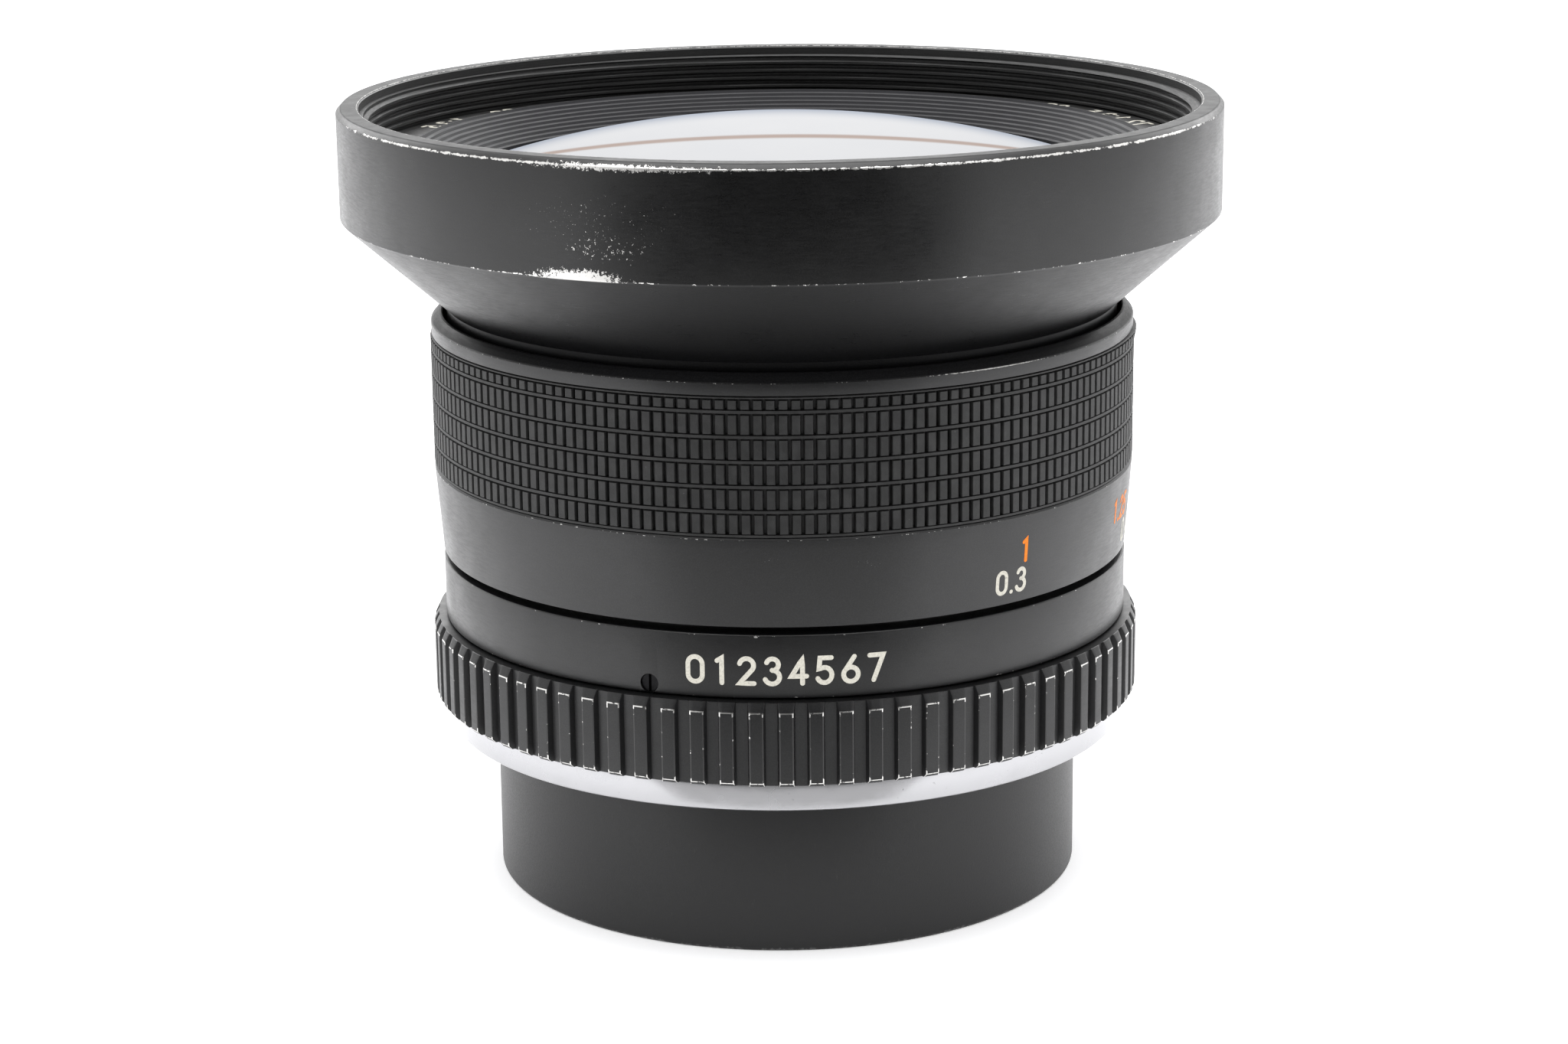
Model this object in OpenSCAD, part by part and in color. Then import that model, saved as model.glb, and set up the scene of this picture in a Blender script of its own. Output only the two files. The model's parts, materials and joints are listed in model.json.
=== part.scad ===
// Wide-angle prime lens for a single-lens reflex camera, standing on its rear cap.
// Millimetres. The origin is the centre of the cap's underside, and +Z runs along the
// optical axis towards the front. The serial number faces -Y and the index line faces +Y.

/* [Front barrel] */
// Radius of the flared front
hood_r = 38.35; // [38.2:0.01:38.5]
// Height of the front rim above the base
rim_z = 69; // [68.8:0.01:69.3]
// Width of the bevel on the front rim's outer edge
rim_bevel = 0.45; // [0.2:0.01:0.6]
// Radius of the neck between the focusing ring and the flare
neck_r = 29.46; // [29.3:0.01:29.6]
// Height at which the flare leaves the neck
neck_z = 51.65; // [51.5:0.01:51.8]
// Height at which the flare reaches its full radius
flare_z = 59.6; // [59.3:0.01:60]
// Crest radius of the filter thread, which is M72 x 0.75
filter_crest_r = 35.6; // [35.55:0.01:35.65]
// Root radius of the filter thread
filter_root_r = 36; // [35.95:0.01:36.05]
// Pitch of the filter thread
filter_pitch = 0.75; // [0.75]

/* [Focusing ring] */
// Radius of the focusing ring at its rear edge, and of the fixed barrel
barrel_r = 30.37; // [30.3:0.01:30.45]
// Radius of the distance scale at its front edge
scale_r = 30.93; // [30.85:0.01:31]
// Height of the focusing ring's rear edge
focus_z = 29.84; // [29.7:0.01:29.95]
// Height of the rear edge of the rubber grip
grip_z = 37.5; // [37.4:0.01:37.6]
// Length of the rubber grip
grip_h = 11.65; // [11.5:0.01:11.7]
// Outer radius of the rubber grip
grip_r = 30.95; // [30.9:0.01:31]
// Height of the focusing ring's front edge
focus_top_z = 51.4; // [51.3:0.01:51.5]
// Turn of the focusing ring from infinity to its closest distance, in degrees
focus_turn = 142; // [120:1:145]

/* [Aperture ring] */
// Radius of the aperture ring over its ribs
aperture_r = 31.5; // [31.4:0.01:31.6]
// Height of the aperture ring's rear edge
aperture_z = 16.5; // [16.45:0.01:16.6]
// Height of the aperture ring's front edge
aperture_top_z = 23.65; // [23.5:0.01:23.7]
// Number of ribs around the aperture ring
rib_count = 80; // [60:1:90]
// Depth of the valleys between the ribs
rib_depth = 0.55; // [0.2:0.01:0.6]
// Turn of the aperture ring for one stop, in degrees; its figures stand on a plain part
stop_turn = 7.2; // [6:0.1:7.2]
// Part of a stop between the widest aperture and the first full stop
first_stop_part = 0.39; // [0.3:0.01:0.5]

/* [Mount and rear cap] */
// Height of the mount's flange plane, where the rear cap ends
flange_z = 14; // [14]
// Thickness of the mount's flange
flange_h = 2.4; // [2.4]
// Radius of the mount's flange
flange_r = 30.2; // [30:0.01:30.3]
// Radius of the hole through the mount
throat_r = 21.8; // [21.8]
// Outer radius of the rear cap
cap_r = 26.07; // [26:0.01:26.2]
// Thickness of the rear cap's floor
cap_floor = 1.6; // [1.4:0.1:2]

/* [Iris] */
// Number of iris blades
blade_count = 6; // [6]
// Radius of the open iris
open_r = 10.5; // [10.3:0.01:10.6]
// Distance of a blade's pivot from the optical axis
pivot_r = 18.5; // [18.5]
// Distance between a blade's pivot and its drive pin
crank_r = 3.6; // [3.6]
// Turn of a blade from open to the smallest aperture, in degrees
blade_turn = 27.5; // [26:0.1:28]

/* [Hidden] */
$fn = 96;

// Small gap between pieces that are screwed, threaded or pressed together
seat_gap = 0.02;
// Radial gap of a running fit
run_gap = 0.05;
// Amount by which a cutting shape runs past the surface that it cuts
cut = 0.1;

// Directions about the axis, in degrees from +X towards +Y
index_angle = 90;
front_angle = -90;

// Heights of the mount, the skirt that carries the aperture ring, and the fixed barrel
flange_top_z = flange_z + flange_h;
skirt_r = 29.45;
skirt_bore_r = 27;
web_z = 24;
web_top_z = 26.5;
barrel_z = 23.8;
barrel_top_z = 29.2;
edge_bevel = 0.2;

// Spigot outside and guide tube inside: the focusing ring turns on the spigot, and the
// lens head slides along the guide tube
spigot_r = 28.5;
spigot_bore_r = 27.6;
spigot_top_z = 40.5;
groove_r = 27.9;
groove_z = 39;
groove_half = 0.6;
guide_r = 24.7;
guide_bore_r = 23.2;
guide_top_z = 43.4;

// Helicoid
sleeve_bore_r = 26.65;
sleeve_r = 27.5;
sleeve_z = 31;
sleeve_flange_z = 41;
sleeve_top_z = 46;
helicoid_r = 26.5;
helicoid_bore_r = 24.85;
helicoid_z = 27.3;
helicoid_top_z = 46.6;
helicoid_pitch = 1.5;
helicoid_depth = 0.25;
stop_block_angle = 200;
stop_block_half = 5;

// Keys that stop the lens head from turning
key_half = 1.5;
key_r = 26.3;
key_z = 27.5;
key_top_z = 42.5;
key_screw_heights = [31, 39];

// Rear bayonet
spigot_rear_z = 10;
lug_z = 10.2;
bayonet_r = 23.4;
lug_r = 24.9;
lug_h = 1.4;
lug_count = 3;
lug_span = 50;
lug_angle = 20;
cap_bore_r = 25.2;
cap_lug_r = 23.7;
cap_lug_h = 1.4;
mount_screw_count = 4;
mount_screw_r = 28.2;
mount_screw_angle = 15;

// Clicks of the aperture ring, counted from its widest aperture
click_steps = [0, for (i = [0:5]) first_stop_part + i];
aperture_turn = stop_turn * (first_stop_part + 5);
ball_r = 0.8;
ball_centre_r = 28.6;
ball_z = 19.3;
ball_angle = 0;

// Arm from the aperture ring to the iris
arm_angle = 115;
arm_half = 0.8;
arm_z = 20.6;
arm_h = 1.2;
arm_r = 16.7;
arm_top_z = 31.5;
arm_pocket_r = 30.4;

// Lever at the mount that closes the iris
lever_angle = 200;
lever_r = 18;

// Iris: housing floor, cam ring, blades one above the other, and the pivot plate
iris_z = 33;
iris_floor = 0.85;
iris_wall_r = 22.95;
iris_bore_r = 21.95;
cam_z = 34;
cam_h = 1.3;
cam_r = 21.85;
cam_bore_r = 16.4;
blade_z = 35.45;
blade_pitch = 0.25;
blade_h = 0.13;
blade_outer_r = 15.8;
blade_pin_r = 0.5;
pivot_plate_z = 37.05;
pivot_plate_h = 1;

// Rear cell
rear_cell_r = 13;
rear_cell_z = 13.2;
rear_flange_r = 15.8;

module tube(r, bore, z, z_top) {
    translate([0, 0, z])
        difference() {
            cylinder(r = r, h = z_top - z);
            translate([0, 0, -cut]) cylinder(r = bore, h = z_top - z + 2 * cut);
        }
}

// Part of a tube between two directions
module tube_part(r, bore, z, z_top, from, to) {
    rotate([0, 0, from])
        rotate_extrude(angle = to - from)
            translate([bore, z])
                square([r - bore, z_top - z]);
}

// Cylinder that lies along a radius, between two distances from the axis
module radial_pin(r, from, to, z, angle) {
    rotate([0, 0, angle])
        translate([from, 0, z])
            rotate([0, 90, 0])
                cylinder(r = r, h = to - from, $fn = 48);
}

// Screw along a radius, with its head outwards and a straight slot across it
module radial_screw(r, head_r, from, head_from, to, z, angle) {
    difference() {
        union() {
            radial_pin(r, from, head_from + cut, z, angle);
            radial_pin(head_r, head_from, to, z, angle);
        }
        rotate([0, 0, angle])
            translate([to - 0.3, -0.12, z - head_r - cut])
                cube([1, 0.24, 2 * (head_r + cut)]);
    }
}

// Ball of radius big_r whose top is at height z
module ball_top(big_r, z) {
    translate([0, 0, z - big_r]) sphere(r = big_r, $fn = 180);
}

// Ball of radius big_r whose lowest point is at height z
module ball_bottom(big_r, z) {
    translate([0, 0, z + big_r]) sphere(r = big_r, $fn = 180);
}

/* Rear cap and mount */

module rear_cap() {
    recess_r = 22;
    recess_h = 0.5;
    bevel = 0.25;
    cap_lug_z = lug_z + lug_h + 0.15;
    color("dimgray")
        union() {
            rotate_extrude()
                polygon([
                    [0, recess_h], [recess_r, recess_h], [recess_r + recess_h, 0], [cap_r - bevel, 0],
                    [cap_r, bevel], [cap_r, flange_z - run_gap - bevel], [cap_r - bevel, flange_z - run_gap],
                    [cap_bore_r, flange_z - run_gap], [cap_bore_r, cap_floor], [0, cap_floor]
                ]);
            for (i = [0:lug_count - 1])
                rotate([0, 0, lug_angle + i * 360 / lug_count])
                    tube_part(cap_bore_r + cut, cap_lug_r, cap_lug_z, cap_lug_z + cap_lug_h, 0, lug_span);
        }
}

module mount_flange() {
    lock_r = 27.6;
    color("gainsboro")
        difference() {
            union() {
                rotate_extrude()
                    polygon([
                        [throat_r, spigot_rear_z], [bayonet_r, spigot_rear_z], [bayonet_r, flange_z],
                        [flange_r - edge_bevel, flange_z], [flange_r, flange_z + edge_bevel],
                        [flange_r, flange_top_z - edge_bevel], [flange_r - edge_bevel, flange_top_z],
                        [throat_r, flange_top_z]
                    ]);
                for (i = [0:lug_count - 1])
                    rotate([0, 0, lug_angle + i * 360 / lug_count])
                        tube_part(lug_r, bayonet_r - cut, lug_z, lug_z + lug_h, 0, lug_span);
            }
            for (i = [0:mount_screw_count - 1])
                rotate([0, 0, mount_screw_angle + i * 360 / mount_screw_count])
                    translate([mount_screw_r, 0, flange_z - cut]) {
                        cylinder(r = 1.5, h = 1.2 + cut, $fn = 48);
                        cylinder(r = 0.85, h = flange_h + 2 * cut, $fn = 48);
                    }
            rotate([0, 0, -30])
                translate([lock_r, 0, flange_z - cut])
                    cylinder(r = 1.1, h = 1.5 + cut, $fn = 48);
        }
}

module mount_screws() {
    head_z = flange_z + 0.15;
    head_top_z = flange_z + 1.2;
    color("silver")
        for (i = [0:mount_screw_count - 1])
            rotate([0, 0, mount_screw_angle + i * 360 / mount_screw_count])
                translate([mount_screw_r, 0, 0])
                    difference() {
                        union() {
                            translate([0, 0, head_z]) cylinder(r = 1.42, h = head_top_z - head_z, $fn = 48);
                            translate([0, 0, head_top_z - cut]) cylinder(r = 0.8, h = 3.2, $fn = 48);
                        }
                        for (turn = [0, 90])
                            rotate([0, 0, turn])
                                translate([-0.8, -0.15, head_z - cut])
                                    cube([1.6, 0.3, 0.55]);
                    }
}

module rear_light_baffle() {
    plate_z = 12.6;
    plate_top_z = 13.4;
    color("#1c1c1e")
        difference() {
            union() {
                tube(throat_r - run_gap, 21, plate_z, 15.5);
                tube(21 + cut, 13.6, plate_z, plate_top_z);
            }
            tube_part(19.8, 17.6, plate_z - cut, plate_top_z + cut,
                lever_angle - 7, lever_angle + aperture_turn + 7);
        }
}

/* Fixed barrel */

module fixed_barrel() {
    color("#232325")
        difference() {
            rotate_extrude()
                polygon([
                    [skirt_bore_r, flange_top_z], [skirt_r, flange_top_z], [skirt_r, barrel_z],
                    [barrel_r - edge_bevel, barrel_z], [barrel_r, barrel_z + edge_bevel],
                    [barrel_r, barrel_top_z - edge_bevel], [barrel_r - edge_bevel, barrel_top_z],
                    [spigot_r, barrel_top_z], [spigot_r, groove_z - groove_half],
                    [groove_r, groove_z - groove_half], [groove_r, groove_z + groove_half],
                    [spigot_r, groove_z + groove_half], [spigot_r, spigot_top_z],
                    [spigot_bore_r, spigot_top_z], [spigot_bore_r, web_top_z], [guide_r, web_top_z],
                    [guide_r, guide_top_z], [guide_bore_r, guide_top_z], [guide_bore_r, web_z],
                    [skirt_bore_r, web_z]
                ]);
            for (i = [0:mount_screw_count - 1])
                rotate([0, 0, mount_screw_angle + i * 360 / mount_screw_count])
                    translate([mount_screw_r, 0, flange_top_z - cut])
                        cylinder(r = 0.82, h = 2.2, $fn = 48);
            for (i = [0:2])
                radial_pin(0.77, 27.8, barrel_r + cut, grub_z, grub_angle + i * 120);
            radial_pin(0.92, 29.2, barrel_r + cut, dot_z, index_angle);
            radial_pin(ball_r + run_gap, skirt_bore_r - cut, skirt_r + cut, ball_z, ball_angle);
            radial_pin(0.52, skirt_bore_r - cut, 28.4, ball_z, ball_angle + click_screw_angle);
            tube_part(skirt_r + cut, skirt_bore_r - cut, arm_z - 0.2, arm_z + arm_h + 0.2,
                arm_angle - 3.5, arm_angle + aperture_turn + 3.5);
            for (side = [0, 180], z = key_screw_heights) {
                radial_pin(1.25, guide_bore_r - 1, 24, z, side);
                radial_pin(0.72, guide_bore_r - 1, guide_r + cut, z, side);
            }
        }
}

grub_z = 24.6;
grub_angle = front_angle - 21.7;

module barrel_grub_screws() {
    color("silver")
        for (i = [0:2])
            radial_screw(0.75, 0.75, 27.85, 29, barrel_r - 0.2, grub_z, grub_angle + i * 120);
}

dot_z = 25.3;

module mounting_dot() {
    dome_r = 1.6;
    color("crimson")
        intersection() {
            radial_pin(0.9, 29.25, barrel_r + 1, dot_z, index_angle);
            rotate([0, 0, index_angle])
                translate([barrel_r + 0.25 - dome_r, 0, dot_z])
                    sphere(r = dome_r);
        }
}

module focus_keys() {
    color("darkgoldenrod")
        for (side = [0, 180])
            difference() {
                intersection() {
                    tube(key_r, guide_r + seat_gap, key_z, key_top_z);
                    rotate([0, 0, side])
                        translate([20, -key_half, key_z - cut])
                            cube([10, 2 * key_half, key_top_z - key_z + 2 * cut]);
                }
                for (z = key_screw_heights)
                    radial_pin(0.72, guide_r - cut, 25.8, z, side);
            }
}

module key_screws() {
    color("silver")
        for (side = [0, 180], z = key_screw_heights)
            difference() {
                union() {
                    radial_pin(1.2, guide_bore_r + 0.1, 24 - seat_gap, z, side);
                    radial_pin(0.7, 23.8, 25.75, z, side);
                }
                rotate([0, 0, side])
                    translate([guide_bore_r, -0.12, z - 1.5])
                        cube([0.45, 0.24, 3]);
            }
}

module focus_stop_block() {
    color("silver")
        tube_part(spigot_bore_r - seat_gap, sleeve_bore_r + run_gap, web_top_z, sleeve_z + 0.8,
            stop_block_angle - stop_block_half, stop_block_angle + stop_block_half);
}

/* Aperture click, and the lever ring at the mount */

click_screw_angle = 16;

module click_spring() {
    outer_r = skirt_bore_r - run_gap;
    color("lightsteelblue")
        difference() {
            union() {
                tube_part(outer_r, outer_r - 0.35, ball_z - 0.7, ball_z + 0.7,
                    ball_angle - 20, ball_angle + 20);
                radial_pin(0.45, outer_r - 0.2, ball_centre_r - ball_r - 0.05, ball_z, ball_angle);
            }
            radial_pin(0.52, 26, 27.5, ball_z, ball_angle + click_screw_angle);
        }
}

module click_spring_screw() {
    head_r = skirt_bore_r - run_gap - 0.35;
    color("silver")
        difference() {
            union() {
                radial_pin(0.9, head_r - 0.55, head_r - seat_gap, ball_z, ball_angle + click_screw_angle);
                radial_pin(0.5, head_r - 0.3, 28.3, ball_z, ball_angle + click_screw_angle);
            }
            rotate([0, 0, ball_angle + click_screw_angle])
                translate([head_r - 0.75, -0.1, ball_z - 1])
                    cube([0.45, 0.2, 2]);
        }
}

module click_ball() {
    color("silver")
        rotate([0, 0, ball_angle])
            translate([ball_centre_r, 0, ball_z])
                sphere(r = ball_r, $fn = 48);
}

module lever_retaining_ring() {
    color("lightsteelblue")
        tube_part(skirt_bore_r - run_gap, 25.6, 17.8, 18.3, 40, 380);
}

module stopdown_lever_ring() {
    ring_z = flange_top_z + 0.1;
    ring_top_z = ring_z + 1.1;
    post_angle = arm_angle + 4.3;
    color("lightgray")
        union() {
            tube(26.85, 22.5, ring_z, ring_top_z);
            rotate([0, 0, lever_angle]) {
                translate([lever_r, -1.5, ring_z]) cube([5, 3, ring_top_z - ring_z]);
                translate([lever_r, -1.5, 9.4]) cube([1.4, 3, ring_top_z - 9.4]);
            }
            rotate([0, 0, post_angle])
                translate([22.7, -0.8, ring_z])
                    cube([1.5, 1.6, 5]);
        }
}

/* Aperture ring */

module aperture_ring() {
    valley_half = 0.49;
    valley_top_half = 0.74;
    plain_from = index_angle - aperture_turn - 7;
    plain_to = index_angle + 8;
    notch_centre_r = 28.95;
    foot_bevel = 0.3;
    bevel_w = 0.4;
    bevel_h = 0.8;
    color("#232325")
        difference() {
            rotate_extrude()
                polygon([
                    [skirt_r + run_gap, aperture_z], [aperture_r - foot_bevel, aperture_z],
                    [aperture_r, aperture_z + foot_bevel], [aperture_r, aperture_top_z - bevel_h],
                    [aperture_r - bevel_w, aperture_top_z], [skirt_r + run_gap, aperture_top_z]
                ]);
            translate([0, 0, aperture_z - cut])
                linear_extrude(aperture_top_z - aperture_z + 2 * cut)
                    for (i = [0:rib_count - 1])
                        let (angle = (i + 0.5) * 360 / rib_count)
                            if (angle < plain_from || angle > plain_to)
                                rotate([0, 0, angle])
                                    polygon([
                                        [aperture_r - rib_depth, -valley_half],
                                        [aperture_r + cut, -valley_top_half],
                                        [aperture_r + cut, valley_top_half],
                                        [aperture_r - rib_depth, valley_half]
                                    ]);
            for (step = click_steps)
                rotate([0, 0, ball_angle - step * stop_turn])
                    translate([notch_centre_r, 0, ball_z - 1.1])
                        cylinder(r = 0.9, h = 2.2, $fn = 48);
            rotate([0, 0, arm_angle])
                translate([skirt_r - 1, -arm_half - seat_gap, arm_z - seat_gap])
                    cube([arm_pocket_r - skirt_r + 1 + seat_gap, 2 * (arm_half + seat_gap),
                        arm_h + 2 * seat_gap]);
        }
}

module iris_drive_arm() {
    color("lightgray")
        rotate([0, 0, arm_angle])
            union() {
                translate([arm_r, -arm_half, arm_z]) cube([arm_pocket_r - arm_r, 2 * arm_half, arm_h]);
                translate([arm_r, -arm_half, arm_z]) cube([1, 2 * arm_half, arm_top_z - arm_z]);
            }
}

/* Focusing ring */

module focus_ring() {
    bore_r = spigot_r + run_gap;
    seat_r = 30.35;
    front_bore_r = 29.85;
    band_r = 30.85;
    band_z = grip_z + grip_h + 0.05;
    color("#232325")
        difference() {
            rotate_extrude()
                polygon([
                    [bore_r, focus_z], [barrel_r - 0.1, focus_z], [barrel_r, focus_z + 0.1],
                    [scale_r, grip_z - 0.2], [scale_r - 0.1, grip_z - 0.05], [seat_r, grip_z - 0.05],
                    [seat_r, band_z], [band_r, band_z], [band_r, band_z + 1],
                    [30.46, focus_top_z - 0.52], [30.12, focus_top_z - 0.05], [29.95, focus_top_z],
                    [front_bore_r, focus_top_z - 0.1], [front_bore_r, sleeve_top_z], [bore_r, sleeve_top_z]
                ]);
            for (i = [0:2]) {
                radial_pin(1.32, 29.65, 31, 43.5, focus_screw_angle + i * 120);
                radial_pin(0.72, 28, 31, 43.5, focus_screw_angle + i * 120);
                radial_pin(1.12, 29.6, 31, groove_z, guide_screw_angle + i * 120);
                radial_pin(0.57, 28, 31, groove_z, guide_screw_angle + i * 120);
            }
        }
}

focus_screw_angle = 30;
guide_screw_angle = 90;

module rubber_grip() {
    color("#111112")
        tube(grip_r, 30.37, grip_z, grip_z + grip_h);
}

module helicoid_sleeve() {
    grooves = floor((sleeve_top_z - sleeve_z - 1.5) / helicoid_pitch);
    color("goldenrod")
        difference() {
            rotate_extrude()
                polygon([
                    [sleeve_bore_r, sleeve_z], [sleeve_r, sleeve_z], [sleeve_r, sleeve_flange_z],
                    [spigot_r + run_gap - seat_gap, sleeve_flange_z],
                    [spigot_r + run_gap - seat_gap, sleeve_top_z], [sleeve_bore_r, sleeve_top_z]
                ]);
            for (i = [0:grooves])
                translate([0, 0, sleeve_z + 0.9 + i * helicoid_pitch])
                    cylinder(r = sleeve_bore_r + helicoid_depth, h = helicoid_pitch / 2);
            tube_part(sleeve_r + cut, sleeve_bore_r - cut, sleeve_z - cut, sleeve_z + 1.2,
                stop_block_angle - stop_block_half - focus_turn - 0.3,
                stop_block_angle + stop_block_half + 0.3);
            for (i = [0:2])
                radial_pin(0.72, 27.1, 29, 43.5, focus_screw_angle + i * 120);
        }
}

module focus_ring_screws() {
    color("silver")
        for (i = [0:2])
            radial_screw(0.7, 1.3, 27.15, 29.67, 30.33, 43.5, focus_screw_angle + i * 120);
}

module guide_screws() {
    color("silver")
        for (i = [0:2])
            radial_screw(0.55, 1.1, groove_r + run_gap, 29.62, 30.33, groove_z,
                guide_screw_angle + i * 120);
}

/* Lens head: front barrel, rings and cells */

front_floor_z = 62.8;
front_seat_z = 55.4;
front_glass_r = 28.3;
front_glass_z = 67;
cell_r = 26.05;

module front_barrel() {
    thread_top_z = rim_z - 0.8;
    flat_threads = 2;
    sharp_threads = 3;
    flat_crest = [
        [filter_crest_r, 0.1], [filter_crest_r, 0.3], [filter_root_r, 0.5], [filter_root_r, 0.7]
    ];
    sharp_crest = [[filter_crest_r, 0.2], [filter_root_r, 0.5], [filter_root_r, 0.7]];
    thread_points = [
        for (i = [0:flat_threads + sharp_threads - 1], p = i < flat_threads ? flat_crest : sharp_crest)
            [p[0], thread_top_z - (i * filter_pitch + p[1])]
    ];
    ring_bore_r = 32.2;
    color("#232325")
        rotate_extrude()
            polygon(concat(
                [
                    [cell_r + run_gap, helicoid_top_z], [neck_r, helicoid_top_z], [neck_r, neck_z],
                    [hood_r - 0.12, flare_z - 0.1], [hood_r, flare_z + 0.05], [hood_r, rim_z - rim_bevel],
                    [hood_r - rim_bevel, rim_z], [filter_root_r + 0.55, rim_z],
                    [filter_root_r + 0.4, rim_z - 0.15], [filter_root_r + 0.4, thread_top_z]
                ],
                thread_points,
                [
                    [filter_root_r, front_floor_z], [ring_bore_r, front_floor_z],
                    [ring_bore_r, front_floor_z - 2.3], [front_glass_r + run_gap, front_floor_z - 2.3],
                    [front_glass_r + run_gap, front_seat_z], [cell_r + run_gap, front_seat_z]
                ]
            ));
}

module name_ring() {
    ring_h = 2.05;
    color("#151516")
        tube(filter_crest_r - 0.1, 32.25, front_floor_z, front_floor_z + ring_h);
}

module front_retaining_ring() {
    top_r = 31.9;
    top_z = 65.4;
    lip_r = 27.7;
    lip_z = front_floor_z + 0.15;
    steps = 8;
    step_r = (top_r - 0.3 - lip_r) / steps;
    step_h = (top_z - lip_z) / steps;
    slope = [
        for (i = [0:steps - 1], p = [[0, 0], [0, -0.7], [0.45, -1]])
            [top_r - 0.3 - (i + p[0]) * step_r, top_z + (-i + p[1]) * step_h]
    ];
    color("#5b5c61")
        rotate_extrude()
            polygon(concat(
                [
                    [front_glass_r + 0.1, front_floor_z - 2.3], [32.15, front_floor_z - 2.3],
                    [32.15, front_floor_z + 1.6], [top_r, top_z - 0.1], [top_r - 0.1, top_z]
                ],
                slope,
                [[lip_r, lip_z], [lip_r, lip_z - 0.23], [front_glass_r + 0.1, lip_z - 0.23]]
            ));
}

module front_element() {
    back_r = 34;
    back_z = 63.5;
    color("#9fb6c8", 0.45)
        difference() {
            intersection() {
                translate([0, 0, front_seat_z + seat_gap]) cylinder(r = front_glass_r, h = 12);
                ball_top(90, front_glass_z);
            }
            ball_top(back_r, back_z);
        }
}

module front_cell() {
    color("#232325")
        rotate_extrude()
            polygon([
                [22.6, 38.1], [22.6, helicoid_top_z + 0.05], [cell_r, helicoid_top_z + 0.05],
                [cell_r, 55.3], [21.05, 55.3], [21.05, 48.58], [14.05, 48.58], [14.05, 45.4],
                [12.9, 45.08], [12.9, 43.6], [9.9, 43.4], [9.9, 42.82], [11.05, 42.82], [11.05, 38.1]
            ]);
}

module second_element() {
    color("#9fb6c8", 0.45)
        difference() {
            intersection() {
                translate([0, 0, 48.6]) cylinder(r = 21, h = 12);
                ball_top(45, 58);
            }
            ball_top(20, 56);
        }
}

module second_element_ring() {
    color("#232325") tube(21.02, 19.6, 53.55, 54.9);
}

module third_element() {
    color("#9fb6c8", 0.45)
        intersection() {
            translate([0, 0, 40]) cylinder(r = 14, h = 12);
            ball_top(40, 49.93);
            ball_bottom(60, 43.76);
        }
}

module third_element_ring() {
    color("#232325") tube(14.02, 12.6, 47.92, 48.5);
}

module fourth_element() {
    color("#9fb6c8", 0.45)
        difference() {
            translate([0, 0, 39.6]) cylinder(r = 11, h = 3.2);
            ball_bottom(80, 42.04);
            ball_top(60, 40.62);
        }
}

module fourth_element_ring() {
    color("#232325") tube(11.02, 9.9, 38.8, 39.58);
}

module helicoid_tube() {
    grooves = 9;
    color("goldenrod")
        difference() {
            rotate_extrude()
                polygon([
                    [helicoid_bore_r, helicoid_z], [helicoid_r, helicoid_z], [helicoid_r, helicoid_top_z],
                    [22.65, helicoid_top_z], [22.65, guide_top_z + 0.8], [helicoid_bore_r, guide_top_z + 0.8]
                ]);
            for (i = [0:grooves])
                tube(helicoid_r + cut, helicoid_r - helicoid_depth,
                    helicoid_z + 1.5 + i * helicoid_pitch, helicoid_z + 1.5 + (i + 0.5) * helicoid_pitch);
            for (side = [0, 180])
                rotate([0, 0, side])
                    translate([20, -key_half - run_gap, helicoid_z - cut])
                        cube([10, 2 * (key_half + run_gap), guide_top_z - helicoid_z + cut]);
            for (i = [0:2])
                rotate([0, 0, 60 + i * 120])
                    translate([24.4, 0, guide_top_z]) {
                        cylinder(r = 1.25, h = 1.8, $fn = 48);
                        cylinder(r = 0.72, h = 5, $fn = 48);
                    }
        }
}

module head_screws() {
    head_z = guide_top_z + 0.9;
    color("silver")
        for (i = [0:2])
            rotate([0, 0, 60 + i * 120])
                translate([24.4, 0, 0])
                    difference() {
                        union() {
                            translate([0, 0, head_z]) cylinder(r = 1.2, h = 0.88, $fn = 48);
                            translate([0, 0, head_z + 0.5]) cylinder(r = 0.7, h = 1.7, $fn = 48);
                        }
                        translate([-2, -0.12, head_z - cut]) cube([4, 0.24, 0.5]);
                    }
}

/* Iris */

function turned(p, angle) = [p[0] * cos(angle) - p[1] * sin(angle), p[0] * sin(angle) + p[1] * cos(angle)];

// Place of a blade's drive pin when the iris has closed by part t of its travel
function drive_pin(t) = [pivot_r + crank_r * sin(t * blade_turn), -crank_r * cos(t * blade_turn)];

// The same place on the cam ring, which has turned with the aperture ring
function cam_point(t) = turned(drive_pin(t), -t * aperture_turn);

// Steps along the curve of a cam slot
cam_steps = 14;

module cam_slot() {
    half = blade_pin_r + 0.06;
    function side(t) =
        let (step = cam_point(t + 0.01) - cam_point(t - 0.01)) [-step[1], step[0]] * half / norm(step);
    polygon(concat(
        [for (i = [0:cam_steps]) cam_point(i / cam_steps) + side(i / cam_steps)],
        [for (i = [cam_steps:-1:0]) cam_point(i / cam_steps) - side(i / cam_steps)]
    ));
    for (t = [0, 1])
        translate(cam_point(t))
            circle(r = half, $fn = 32);
}

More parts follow.
